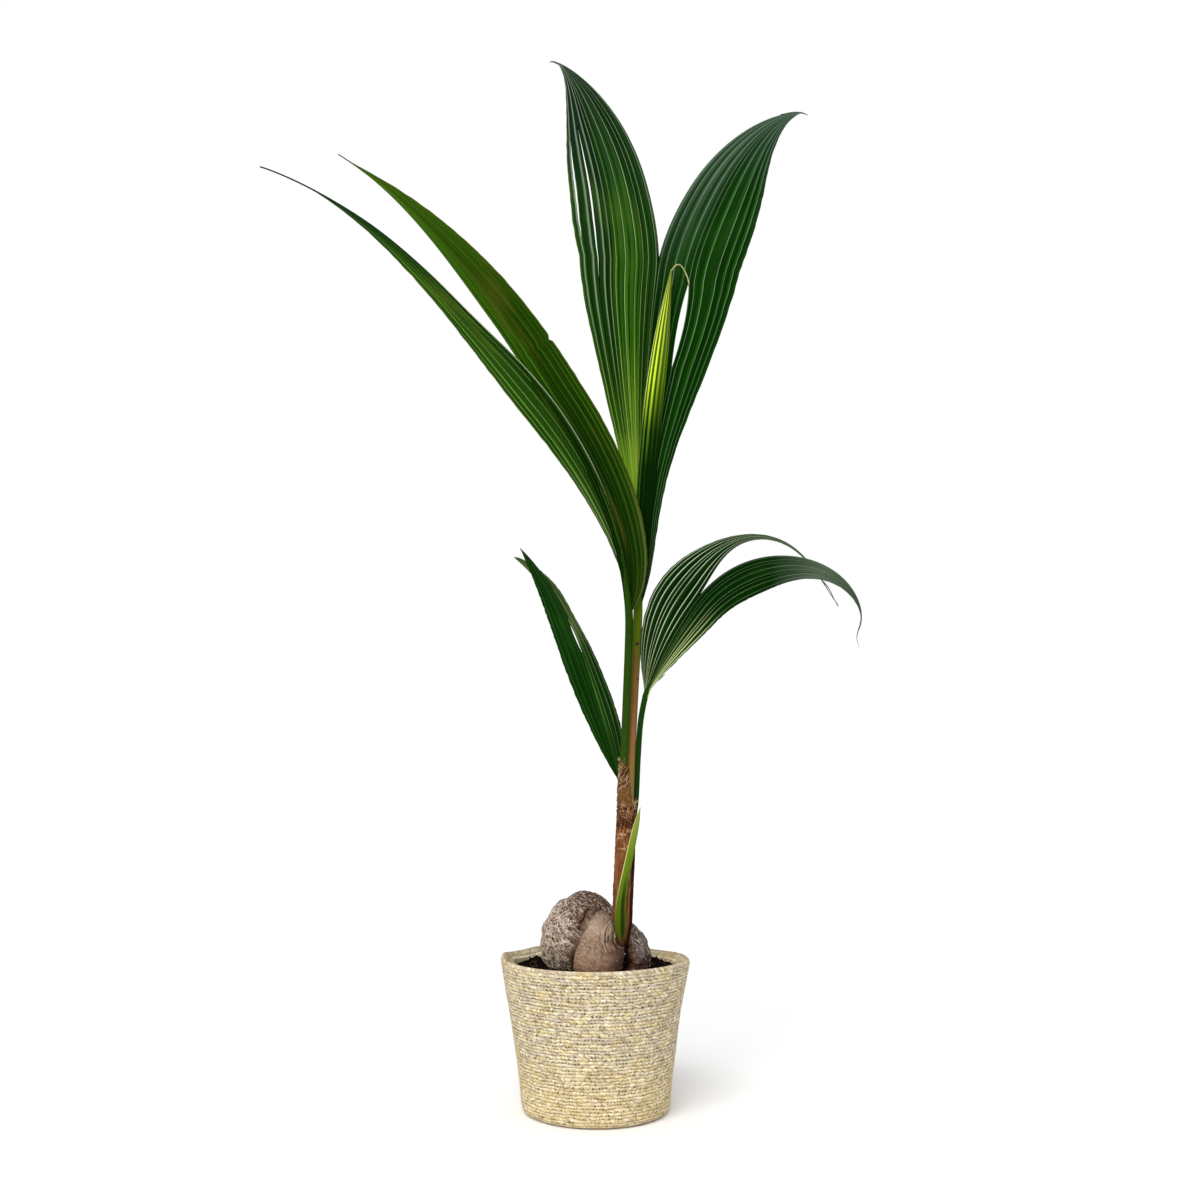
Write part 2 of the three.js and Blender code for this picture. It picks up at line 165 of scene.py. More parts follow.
ARCHING_LEAF = Part(
    name="arching_leaf",
    stalk=[(42.6, 0.6, 316), (47.4, 4.6, 346), (50, 3, 395), (53, -0.6, 437)],
    stalk_radius=3.3,
    foot=Vector((58.3, -4, 466)),
    rachis=Part(length=125, side=(18.9, 34.5), fore=(8, 16), tip_radius=0.9, set_back=3.5),
    upper_side=1,
    blades=[
        half_blade(name="rear_blade", hand=-1, length=229, side=146, fore=-8, bend=2.8, ease=4.6,
                   roll=(-15, -60), width=55, foot_taper=1.7, tip_taper=3.4, foot_width=5, pleats=8, fold=0.8,
                   cut=True, inner_stray=[0, 0, -1, 7, 1, 0], margin_stray=[0, -8, -1, -3, 1, 0]),
        half_blade(name="front_blade", hand=1, length=270, side=222, fore=30, bend=0.96, ease=0.6,
                   roll=(30, 20), width=44, foot_taper=1.56, tip_taper=1.72, foot_width=3, pleats=8, fold=0.8,
                   cut=True, inner_stray=[0, 0, 0, -1, -1.5, 0], margin_stray=[0, 1, -1, 1, -4, 0]),
    ],
)
LOW_LEAF = Part(
    name="low_leaf",
    stalk=[(33.4, 0.8, 316), (28.8, 6.8, 346), (30.4, 7.4, 356)],
    stalk_radius=2.8,
    foot=Vector((30.4, 8, 367.3)),
    rachis=Part(length=168, side=(-13.8, -19.6), fore=(-10, -20), tip_radius=0.9, set_back=0),
    upper_side=1,
    blades=[
        half_blade(name="front_blade", hand=-1, length=163, side=-45, fore=-14, bend=1.4, ease=1,
                   roll=(25, 15), width=27.5, foot_taper=0.83, tip_taper=0.86, foot_width=0, pleats=4,
                   fold=0.4, partings=[Part(start=0.52, end=0.66, width=1.6)]),
        half_blade(name="rear_blade", hand=1, length=175, side=-47, fore=-34, bend=0.74, ease=1,
                   roll=(-30, -20), width=17, foot_taper=0.3, tip_taper=0.45, foot_width=0, pleats=3,
                   fold=0.8, partings=[Part(start=0.52, end=0.66, width=1)],
                   margin_stray=[0, 4, 0, -4, 2.5, 0]),
    ],
)
FOOT_WIDTH_AT = 0.12
BLADE_BOW = 0.06
BLADE_THICKNESS = 0.6
BLADE_SWAY = 1.2
MARGIN_ROUGHNESS = 0.7
NICK_WIDTH = 0.004
LEAF_GLOSS = 0.08
LEAF_GLOSS_TINT = (0.35, 0.75, 0.2, 1)
PLEAT_DEPTH = 0.19
EDGE_STEPS = 220
OVERLAP_FADE = 120
BLADE_ROWS = 150
COLUMNS_PER_PLEAT = 8

# Bladeless first leaf and folded spear leaf, each along a few points.
FIRST_LEAF_LINE = [(29.4, -36.4, 189), (29.6, -33.6, 236), (39.4, -24.4, 285), (52.2, -16, 341)]
FIRST_LEAF_HALF_WIDTHS = [1, 6.5, 6, 4.9, 4.4, 4.2, 3.3, 0.3]
FIRST_LEAF_HALF_DEPTH = 1.6
SPEAR_LINE = [(53, -0.4, 600), (58.5, -4, 690), (68, -7, 800), (79, -8, 890), (91.2, -9, 977)]
SPEAR_HALF_WIDTHS = [7, 10.5, 11.4, 9.2, 0.8]
SPEAR_HALF_DEPTH = 3
SPEAR_PLEATS = 12
REIN_LINE = [(91.2, -9, 975), (95.5, -8.5, 981.5), (101.5, -7.5, 983), (107, -5, 977), (112, -2, 965),
             (114.8, 0.6, 948), (112.4, 0.5, 930), (107.6, 0, 910)]
REIN_RADIUS = 0.8

# Frayed tips at the lower edge of the arching leaf, at shares of its front blade's length.
FRAYED_TIPS_AT = (0.065, 0.118)

# Stage: the camera in front, a little above the top of the stem, and the sky, sun and floor.
CAMERA_PLACE = (0.00585, -1.6, 0.434)
CAMERA_PITCH = math.radians(5.25)
CAMERA_LENS = 41.01
SKY_FROM = -0.3
SKY_BELOW = 0.28
SKY_ABOVE = 0.85
SUN_STRENGTH = 2.15
SUN_SOFTNESS = 42
SUN_TILT = 46
SUN_TURN = -20
FLOOR_WHITE = (0.95, 0.95, 0.95, 1)
FLOOR_DROP = 0.0005


def lerp(low, high, share):
    return low + (high - low) * share


def clamp(value, low=0.0, high=1.0):
    return min(max(value, low), high)


def smooth_step(low, high, value):
    share = clamp((value - low) / (high - low))
    return share * share * (3 - 2 * share)


def spline(points, share):
    """A place on the smooth line through the points, at a share of the way."""
    at = clamp(share) * (len(points) - 1)
    first = min(int(at), len(points) - 2)
    rest = at - first
    a, b, c, d = (Vector(points[clamp(first + i, 0, len(points) - 1)]) for i in (-1, 0, 1, 2))
    curve = (c - a) * rest + (2 * a - 5 * b + 4 * c - d) * rest**2 + (3 * b - a - 3 * c + d) * rest**3
    return b + curve / 2


def spline_value(values, share):
    """A number that runs smoothly through the values, at a share of the way."""
    return spline([(value, 0, 0) for value in values], share).x


def cross_frame(along):
    """The ways across, to the right of the picture, and forward for a line that runs along a direction."""
    right = along.cross(FRONT).normalized()
    return right, right.cross(along)


def line_frame(line, share, step):
    """Place on a smooth line at a share of the way, and the ways to its right and to its front."""
    along = (spline(line, share + step) - spline(line, share - step)).normalized()
    return spline(line, share), *cross_frame(along)


def add_object(name, data):
    thing = bpy.data.objects.new(name, data)
    bpy.context.scene.collection.objects.link(thing)
    return thing


def add_mesh(name, bm, finish):
    """Turns a bmesh into an object with a finish."""
    mesh = bpy.data.meshes.new(name)
    bm.to_mesh(mesh)
    bm.free()
    mesh.materials.append(finish)
    return add_object(name, mesh)


def finish_piece(name, bm, finish, slot, *nodes):
    """Turns a bmesh in millimetres into a piece that stands for its solids."""
    bmesh.ops.scale(bm, vec=(MM, MM, MM), verts=bm.verts)
    piece = add_mesh(name, bm, finish)
    piece.data.shade_smooth()
    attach(piece, "root")
    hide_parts(*nodes)
    return piece


def flat_sheet(columns, rows):
    """A sheet one unit wide and long, with its map, to be bent to shape."""
    bm = bmesh.new()
    bm.loops.layers.uv.new(SURFACE_MAP)
    bmesh.ops.create_grid(bm, x_segments=columns, y_segments=rows, size=0.5, calc_uvs=True)
    return bm


def new_limb(line, sides, steps, section):
    """A sheet rolled shut along a smooth line, with its ends closed.

    The section gives the reach to the right and to the front at a turn, from 0 to 1, and a share of the way.
    """
    bm = flat_sheet(sides, steps)
    rings = {}
    for vert in bm.verts:
        turn, share = vert.co.x + 0.5, vert.co.y + 0.5
        key = round(share, 5)
        if key not in rings:
            rings[key] = line_frame(line, share, 0.5 / steps)
        place, right, front = rings[key]
        across, forward = section(turn, share)
        vert.co = place + right * across + front * forward
    bmesh.ops.remove_doubles(bm, verts=bm.verts, dist=1e-5)
    bmesh.ops.holes_fill(bm, edges=[edge for edge in bm.edges if edge.is_boundary])
    bmesh.ops.recalc_face_normals(bm, faces=bm.faces)
    return bm


def round_section(radius_at, flatness=1.0):
    """A round or flattened section whose half width is a function of the share of the way."""
    def section(turn, share):
        radius = radius_at(share)
        return radius * math.sin(turn * math.tau), flatness * radius * math.cos(turn * math.tau)
    return section


def straight_fibre():
    """A three-sided prism one unit long, cut across in four."""
    bm = bmesh.new()
    bmesh.ops.create_cone(bm, cap_ends=True, segments=3, radius1=1, radius2=1, depth=1)
    lengthwise = [edge for edge in bm.edges if abs(edge.verts[0].co.z - edge.verts[1].co.z) > 0.5]
    bmesh.ops.subdivide_edges(bm, edges=lengthwise, cuts=3)
    return bm


def join(bm, part):
    """Adds a small part to a bmesh that holds many."""
    part.to_mesh(SCRATCH)
    part.free()
    bm.from_mesh(SCRATCH)


def add_fibre(bm, line, thickness, tip=0.05):
    """Adds one hair-thin fibre to a bmesh, bent along a line and thinner to its tip."""
    fibre = FIBRE.copy()
    for vert in fibre.verts:
        share = vert.co.z + 0.5
        place, right, front = line_frame(line, share, 0.1)
        radius = thickness * lerp(1, tip, share)
        vert.co = place + right * vert.co.x * radius + front * vert.co.y * radius
    join(bm, fibre)


# Finishes.


def srgb(red, green, blue):
    """A finish colour in linear light, from its screen values of 0 to 255."""
    def linear(value):
        share = value / 255
        return share / 12.92 if share <= 0.04045 else ((share + 0.055) / 1.055) ** 2.4
    return (linear(red), linear(green), linear(blue), 1.0)


class Value:
    """What one node gives, with arithmetic that adds the node for it."""

    def __init__(self, nodes, socket):
        self.nodes = nodes
        self.socket = socket

    def __add__(self, other):
        return self.nodes.math("ADD", self, other)

    def __sub__(self, other):
        return self.nodes.math("SUBTRACT", self, other)

    def __mul__(self, other):
        return self.nodes.math("MULTIPLY", self, other)

    def __abs__(self):
        return self.nodes.math("ABSOLUTE", self)

    def floor(self):
        return self.nodes.math("FLOOR", self)

    def fract(self):
        return self.nodes.math("FRACT", self)


class Nodes:
    """A node tree in the making. A colour that is fed to a node is three screen values."""

    def __init__(self, owner):
        owner.use_nodes = True
        self.tree = owner.node_tree

    def feed(self, socket, value):
        if isinstance(value, Value):
            self.tree.links.new(value.socket, socket)
        else:
            socket.default_value = srgb(*value) if isinstance(value, tuple) else value

    def add(self, kind, output, inputs, **settings):
        node = self.tree.nodes.new(kind)
        for key, value in settings.items():
            setattr(node, key, value)
        for key, value in inputs.items():
            self.feed(node.inputs[key], value)
        return Value(self, node.outputs[output])

    def math(self, operation, *values):
        return self.add("ShaderNodeMath", 0, dict(enumerate(values)), operation=operation)

    def axes(self, vector):
        node = self.tree.nodes.new("ShaderNodeSeparateXYZ")
        self.feed(node.inputs["Vector"], vector)
        return [Value(self, socket) for socket in node.outputs]


class Finish(Nodes):
    """A node material in the making, with a short call for each kind of node it uses.

    A stop of a ramp is a position, and then a colour or one grey level.
    """

    def __init__(self, name, roughness, specular, gloss_tint=(1, 1, 1, 1)):
        self.material = bpy.data.materials.new(name)
        super().__init__(self.material)
        self.shader = self.tree.nodes["Principled BSDF"]
        self.shader.inputs["Roughness"].default_value = roughness
        self.shader.inputs["Specular IOR Level"].default_value = specular
        self.shader.inputs["Specular Tint"].default_value = gloss_tint

    def vector(self, x, y, z=0.0):
        return self.add("ShaderNodeCombineXYZ", 0, {"X": x, "Y": y, "Z": z})

    def place(self):
        return self.add("ShaderNodeTexCoord", "Object", {})

    def surface(self):
        """Shares across or around the piece, and along it, from its own map."""
        return self.axes(self.add("ShaderNodeUVMap", "UV", {}, uv_map=SURFACE_MAP))[:2]

    def attribute(self, name):
        return self.add("ShaderNodeAttribute", "Fac", {}, attribute_name=name)

    def noise(self, vector, scale, detail=3.0, roughness=0.55, swirl=0.0):
        inputs = {"Vector": vector, "Scale": scale, "Detail": detail, "Roughness": roughness}
        inputs["Distortion"] = swirl
        return self.add("ShaderNodeTexNoise", 0, inputs)

    def streaks(self, x, y, z=0.0, detail=3.0):
        """Noise drawn out by the scale that each way already has."""
        return self.noise(self.vector(x, y, z), 1.0, detail)

    def chance(self, x, y, z=0.0):
        """One random share for each whole-number cell."""
        cell = self.vector(x, y, z)
        return self.add("ShaderNodeTexWhiteNoise", 0, {"Vector": cell}, noise_dimensions="3D")

    def between(self, value, low, high, to_low=0.0, to_high=1.0):
        """A smooth step of a value from one level to another."""
        inputs = {"Value": value, "From Min": low, "From Max": high, "To Min": to_low, "To Max": to_high}
        return self.add("ShaderNodeMapRange", 0, inputs, interpolation_type="SMOOTHSTEP")

    def window(self, value, low, high, soft):
        """One between two levels, fading out past them."""
        return self.between(value, low - soft, low) * self.between(value, high + soft, high)

    def mix(self, share, first, second):
        return self.add("ShaderNodeMix", 2, {0: share, 6: first, 7: second}, data_type="RGBA")

    def tint(self, colour, value, low, high, share, paint):
        """A colour that goes to a share of another one as a value steps between two levels."""
        return self.mix(self.between(value, low, high, 0.0, share), colour, paint)

    def ramp(self, value, *stops):
        node = self.tree.nodes.new("ShaderNodeValToRGB")
        self.feed(node.inputs["Fac"], value)
        elements = node.color_ramp.elements
        for index, (position, *colour) in enumerate(stops):
            element = elements[index] if index < 2 else elements.new(position)
            element.position = position
            element.color = srgb(*colour) if len(colour) == 3 else (*colour * 3, 1)
        return Value(self, node.outputs["Color"])

    def bump(self, height, strength, distance_mm):
        inputs = {"Height": height, "Strength": strength, "Distance": distance_mm * MM}
        self.feed(self.shader.inputs["Normal"], self.add("ShaderNodeBump", "Normal", inputs))

    def done(self, colour, roughness=None):
        self.feed(self.shader.inputs["Base Color"], colour)
        if roughness is not None:
            self.feed(self.shader.inputs["Roughness"], roughness)
        return self.material


def seagrass_finish():
    """Straw-coloured braid: a tint for each strand, grey and yellow stretches, dark dots, and painted shade
    on the lip.
    """
    f = Finish("seagrass", 0.85, 0.1)
    x, y, z = f.axes(f.place())
    row = f.attribute("row")
    turn = f.math("ARCTAN2", y, x) * (BASKET_PLAITS / math.tau)
    waver = f.streaks(turn * 0.3, row * 0.8, 8.0, 2.0)
    row = row + (waver - 0.5) * 0.9
    whole_row, in_row = row.floor(), row.fract()
    shift = (f.math("SINE", whole_row * ROW_SHIFT) * ROW_SHIFT_REACH).fract()
    slant = in_row * PLAIT_SLANT * f.math("SIGN", shift - 0.5)
    shifted = turn + shift
    wander = f.streaks(turn * 0.4, row * 1.3, 4.0, 2.0)
    slanted = shifted + slant + wander * 2.2
    tone = f.chance(slanted.floor(), whole_row)
    colour = f.ramp(tone, (0.0, 158, 138, 102), (0.25, 204, 187, 149), (0.7, 228, 214, 178),
                    (1.0, 254, 247, 224))
    streak = f.streaks(turn * 0.09, row * 1.9, 6.0)
    colour = f.tint(colour, streak, 0.52, 0.66, 0.45, (160, 138, 100))
    colour = f.tint(colour, streak, 0.46, 0.34, 0.6, (255, 247, 220))
    grey = f.streaks(turn * 0.11, row * 0.55, detail=4.0)
    half_height = 0.5 * BASKET_HEIGHT * MM
    high = f.between(z, 0.7 * half_height, half_height, 0.15, 0.6)
    colour = f.mix(f.between(grey, 0.46, 0.66) * high, colour, (196, 182, 170))
    colour = f.tint(colour, grey, 0.5, 0.32, 0.5, (242, 218, 148))
    colour = f.tint(colour, z, half_height, 0.2 * half_height, 0.25, (240, 210, 138))
    fibre = f.streaks(slanted * 1.1, row * 3.2)
    colour = f.tint(colour, fibre, 0.52, 0.66, 0.45, (140, 114, 76))
    colour = f.tint(colour, fibre, 0.46, 0.34, 0.4, (252, 244, 216))
    off_strand = abs(slanted.fract() - 0.5)
    colour = f.tint(colour, off_strand, 0.34, 0.5, 0.5, (140, 116, 80))
    seam = f.between(abs(in_row - 0.5), 0.3, 0.5) * f.between(waver, 0.42, 0.6, 0.3, 0.75)
    colour = f.mix(seam, colour, (118, 94, 62))
    cell = shifted * 0.62 + fibre * 1.3
    here = f.between(f.chance(cell.floor(), whole_row, 9.0), 0.25, 0.6)
    here = here * f.between(row, BASKET_ROWS - 0.4, BASKET_ROWS - 0.9)
    dot = f.between(abs(in_row - 0.16), 0.34, 0.14) * f.between(abs(cell.fract() - 0.5), 0.3, 0.12)
    dot = dot * here * f.between(grey, 0.36, 0.56, 0.5, 1.0)
    colour = f.mix(dot, colour, (34, 24, 16))
    # Painted shade on the lip.
    colour = f.tint(colour, row, BASKET_ROWS, BASKET_ROWS + 0.6, 0.35, (128, 112, 84))
    f.bump(fibre - f.between(off_strand, 0.3, 0.5, 0.0, 0.6), 0.5, 0.5)
    return f.done(colour, f.between(tone, 0.0, 1.0, 0.95, 0.75))


def soil_finish(name, dark, light):
    """Moist potting soil: nearly black, with paler specks."""
    f = Finish(name, 0.95, 0.02)
    place = f.place()
    specks = f.noise(place, 420.0, 4.0, 0.7)
    colour = f.ramp(specks, (0.35, *dark), (0.62, *light), (0.78, 96, 80, 62))
    f.bump(f.noise(place, 900.0), 0.6, 0.8)
    return f.done(colour)


def husk_finish():
    """Weathered husk: grey and felted on the left lobe, smooth and brown in front, with painted shade in the
    creases, the grooves and the cleft by the stem.
    """
    f = Finish("husk", 0.85, 0.05)
    place = f.place()
    front, right, crease = (f.attribute(name) for name in NUT_MARKS)
    x, y, z = f.axes(place)
    patches = f.noise(place, 45.0, 5.0, 0.65)
    curls = f.noise(place, 120.0, 3.0, 0.6, 2.5)
    felt = f.noise(place, 300.0, 4.0, 0.7)
    grain = f.streaks((x + z * 0.5) * 620.0, y * 620.0, z * 130.0)
    dashes = f.noise(f.vector((x + z) * 300.0, y * 250.0, (z - x) * 80.0), 1.0, 3.0, 0.6, 1.2)
    grey = f.ramp(patches, (0.3, 106, 82, 66), (0.5, 146, 121, 101), (0.7, 172, 150, 130))
    grey = f.tint(grey, x, -0.02, -0.06, 0.45, (188, 166, 146))
    grey = f.tint(grey, z, 0.212, 0.236, 0.6, (90, 76, 70))
    grey = f.tint(grey, x, -0.036, -0.02, 0.85, (84, 60, 48))
    pale = f.between(dashes, 0.53, 0.6) * f.between(x, -0.016, -0.038, 0.35, 0.95)
    grey = f.mix(pale, grey, (228, 217, 204))
    grey = f.tint(grey, dashes, 0.49, 0.4, 0.95, (62, 44, 36))
    grey = f.tint(grey, curls, 0.48, 0.36, 0.6, (98, 72, 54))
    grey = f.tint(grey, felt, 0.6, 0.74, 0.5, (222, 212, 198))
    brown = f.ramp(grain, (0.3, 104, 80, 62), (0.5, 150, 125, 103), (0.72, 192, 170, 146))
    brown = f.tint(brown, patches, 0.46, 0.7, 0.7, (126, 94, 74))
    # Paler and pinker towards the bottom of the front lobe: partly its own colour, partly painted light
    # against the shadow of the basket's rim.
    brown = f.tint(brown, z, 0.184, 0.166, 0.6, (194, 152, 126))
    brown = f.tint(brown, z, 0.192, 0.21, 0.3, (198, 180, 160))
    off_x, off_z = x - 0.036, z - 0.198
    from_stem = f.math("SQRT", off_x * off_x + off_z * off_z)
    wrinkles = f.streaks(from_stem * 620.0, x * 60.0, z * 60.0, 2.0)
    by_stem = f.between(from_stem, 0.036, 0.024) * f.between(z, 0.178, 0.19)
    # Painted shade towards the cleft by the stem, and grooves about the stem drawn with painted shade in them
    # and paler ridges between.
    brown = f.tint(brown, x, 0.006, 0.032, 0.85, (70, 44, 34))
    brown = f.mix(f.between(wrinkles, 0.5, 0.4, 0.0, 0.85) * by_stem, brown, (48, 28, 22))
    brown = f.mix(f.between(wrinkles, 0.52, 0.62, 0.0, 0.5) * by_stem, brown, (172, 148, 126))
    dull = f.ramp(grain, (0.3, 58, 36, 32), (0.5, 104, 88, 80), (0.7, 168, 156, 150))
    dull = f.tint(dull, z, 0.182, 0.166, 0.6, (52, 28, 24))
    colour = f.mix(front * f.between(z, 0.23, 0.208), grey, brown)
    colour = f.mix(right, colour, dull)
    low = f.between(z, (SOIL_LEVEL + 16) * MM, (SOIL_LEVEL - 2) * MM, 0.0, 0.5)
    colour = f.mix(low * f.between(felt, 0.35, 0.6), colour, (84, 42, 30))
    # Painted shade in the creases between the lobes and in the grooves.
    colour = f.tint(colour, crease, 0.1, 0.45, 0.75, (96, 68, 46))
    colour = f.tint(colour, crease, 0.4, 0.85, 0.98, (20, 7, 5))
    f.bump(curls + dashes * 0.8, 0.9, 1.8)
    return f.done(colour)


def plain_fibre_finish(name, dark, light, roughness=0.8):
    """Dry fibres or threads, a little uneven in colour."""
    f = Finish(name, roughness, 0.1)
    place = f.place()
    colour = f.ramp(f.noise(place, 150.0), (0.35, *dark), (0.65, *light))
    f.bump(f.noise(place, 1500.0, 2.0), 0.3, 0.2)
    return f.done(colour)


def sheath_finish():
    """Brown fibre sheath: a felted net of slanting threads, dark and reddish on the bare right side, with
    painted shade at its foot in the nut's cleft.
    """
    f = Finish("fibre_sheath", 0.8, 0.05)
    turn, share = f.surface()
    z = f.axes(f.place())[2]
    length, around, height = share * 30.0, turn * 46.0, share * 9.0
    net = f.math("MAXIMUM", f.streaks(around + length, height), f.streaks(around - length, height, 5.0))
    weave = f.ramp(net, (0.42, 58, 26, 10), (0.54, 112, 64, 32), (0.64, 150, 98, 58), (0.74, 214, 178, 136))
    plain = f.ramp(f.streaks(turn * 70.0, share * 9.0, 2.0),
                   (0.35, 78, 40, 16), (0.52, 126, 78, 44), (0.7, 170, 122, 84))
    brown = f.mix(f.between(z, 0.27, 0.306), plain, weave)
    bands = f.streaks(turn * 2.0, share * 60.0)
    banded = f.between(bands, 0.5, 0.62) * f.window(z, 0.294, 0.312, 0.008)
    brown = f.mix(banded * 0.6, brown, (200, 162, 122))
    looped = f.window(z, 0.318, 0.34, 0.004) * f.between(net, 0.7, 0.56)
    brown = f.mix(looped * 0.75, brown, (44, 22, 12))
    brown = f.mix(f.window(z, 0.345, 0.36, 0.005) * 0.5, brown, (104, 84, 44))
    brown = f.tint(brown, z, 0.36, 0.367, 0.8, (58, 38, 20))
    red = f.ramp(f.streaks(turn * 60.0, share * 8.0), (0.35, 24, 4, 2), (0.6, 54, 12, 5), (0.8, 84, 38, 16))
    bare = f.between(abs(turn - STEM_BARE_TURN), 0.15, 0.1)
    colour = f.mix(bare * f.between(z, 0.338, 0.318), brown, red)
    off_turn, off_level = (turn - 0.26) * 19.0, (z - 0.211) * 46.0
    off_shoot = off_turn * off_turn + off_level * off_level
    colour = f.mix(f.between(off_shoot, 1.0, 0.45), colour, (66, 92, 20))
    # Painted shade at the foot of the stem, down in the nut's cleft.
    colour = f.tint(colour, z, 0.2, 0.186, 0.9, (40, 16, 10))
    f.bump(net, 0.7, 0.9)
    return f.done(colour)


def first_leaf_finish():
    """Lime green with a pale yellow edge on the left, and dark along the middle of its lower half."""
    f = Finish("first_leaf_green", 0.45, LEAF_GLOSS, LEAF_GLOSS_TINT)
    turn, share = f.surface()
    veins = f.streaks(turn * 90.0, share * 5.0, detail=2.0)
    green = f.ramp(share, (0.0, 76, 74, 18), (0.2, 74, 92, 16), (0.7, 98, 122, 26), (1.0, 150, 160, 70))
    green = f.tint(green, veins, 0.45, 0.7, 0.45, (54, 88, 18))
    dark_middle = f.between(abs(turn - 0.05), 0.12, 0.04) * f.between(share, 0.62, 0.35)
    green = f.mix(dark_middle * 0.85, green, (18, 40, 6))
    pale = f.between(abs(turn - 0.79), 0.08, 0.03) * f.between(share, 0.15, 0.6)
    green = f.mix(pale, green, (206, 204, 128))
    off_edge = abs((turn * 2.0).fract() - 0.5)
    rim = f.between(off_edge, 0.16, 0.08) * f.between(share, 0.5, 0.2, 0.0, 0.85)
    green = f.mix(rim, green, (92, 50, 24))
    green = f.tint(green, share, 0.12, 0.02, 0.85, (88, 48, 26))
    f.bump(veins, 0.2, 0.3)
    return f.done(green)


def stalk_finish(name, vein, stops, spots=None):
    """Leaf stalk with lengthwise veins; its colour runs through the stops along its length."""
    f = Finish(name, 0.45, LEAF_GLOSS, LEAF_GLOSS_TINT)
    turn, share = f.surface()
    veins = f.streaks(turn * 26.0, share * 7.0)
    colour = f.tint(f.ramp(share, *stops), veins, 0.5, 0.72, 0.6, vein)
    if spots:
        blotch = f.noise(f.place(), 150.0, 2.0)
        here = f.between(share, 0.16, 0.2) * f.between(share, 0.34, 0.28)
        colour = f.mix(f.between(blotch, 0.62, 0.7) * here, colour, spots)
    f.bump(veins, 0.25, 0.4)
    return f.done(colour)


def blade_finish(name, pleats, look):
    """Pleated leaf blade: its greens along its length, a painted lit side and a painted shaded side to each
    pleat, painted shade in its furrows and beside its ribs, and pale ribs that are partly painted ridge
    highlights.

    The look's light and shade greens are stops along the blade. Its stops across the blade run from the inner
    edge to the margin and tell how far the light green goes to the shade there, as the blade's own tone and
    as painted shade, by the foot where a second set of them is given too.
    """
    f = Finish(name, 0.4, LEAF_GLOSS, LEAF_GLOSS_TINT)
    across, along = f.surface()
    pleat = across * float(pleats)
    in_pleat = pleat.fract()
    off_ridge = abs(in_pleat - 0.5)
    half_pleat = (pleat * 2.0).floor()
    light, shade = f.ramp(along, *look.light), f.ramp(along, *look.shade)
    # A darker green for the painted shade in the furrows and beside the ribs.
    deep = f.mix(0.7, shade, (0, 14, 0))
    # The blade's own tone across it, together with painted shade across it, as a share of the way to the
    # shade green.
    dim = f.ramp(across, *look.dim)
    if "foot_dim" in vars(look):
        dim = f.mix(f.between(along, 0.32, 0.56), f.ramp(across, *look.foot_dim), dim)
    colour = f.mix(dim, light, shade)
    colour = f.tint(colour, f.chance(half_pleat, float(pleats)), 0.25, 1.0, 0.45, shade)
    # Painted shade on one side of each pleat.
    colour = f.tint(colour, in_pleat, 0.47, 0.55, look.facet, shade)
    veins = f.streaks(pleat * 4.0, along * 2.0, detail=1.0)
    colour = f.tint(colour, veins, 0.5, 0.58, 0.75, shade)
    # Painted shade along each furrow, and a painted shadow line on one side of each rib.
    colour = f.tint(colour, off_ridge, 0.4, 0.47, 0.9, deep)
    rib_shadow_distance = abs(in_pleat - (0.53 + look.rib_width))
    colour = f.tint(colour, rib_shadow_distance, 0.06, 0.02, 0.8, deep)
    clouds = f.streaks(across * 3.0, along * 4.0, 3.0, 2.0)
    colour = f.tint(colour, clouds, 0.52, 0.72, 0.45, look.edge)
    # Painted highlight: a pale sheen along some ridges, where a look gives one.
    if "gleam" in vars(look):
        gleam = f.between(along, *look.gleam.along) * f.between(across, *look.gleam.across)
        gleam = gleam * f.between(off_ridge, *look.gleam.band) * look.gleam.share
        colour = f.mix(gleam, colour, look.gleam.tint)
    # Pale ribs on the ridges, partly the leaf's own pale ribs and partly painted ridge highlights.
    fading = f.streaks(half_pleat, along * 3.5)
    strength = f.between(fading, 0.3, 0.65, 0.2, look.rib_share)
    line = f.between(off_ridge, look.rib_width, look.rib_width * 0.3) * strength
    colour = f.mix(line, colour, f.ramp(along, *look.rib))
    colour = f.tint(colour, across, 0.97, 1.0, 0.7, look.edge)
    if "inner_line" in vars(look):
        pale = f.between(across, 0.035, 0.01, 0.0, 0.65) * f.window(along, 0.3, 0.62, 0.12)
        colour = f.mix(pale, colour, look.inner_line)
    f.bump(veins * 0.5 + line, 0.3, 0.4)
    return f.done(colour, f.between(veins, 0.3, 0.8, 0.35, 0.54))


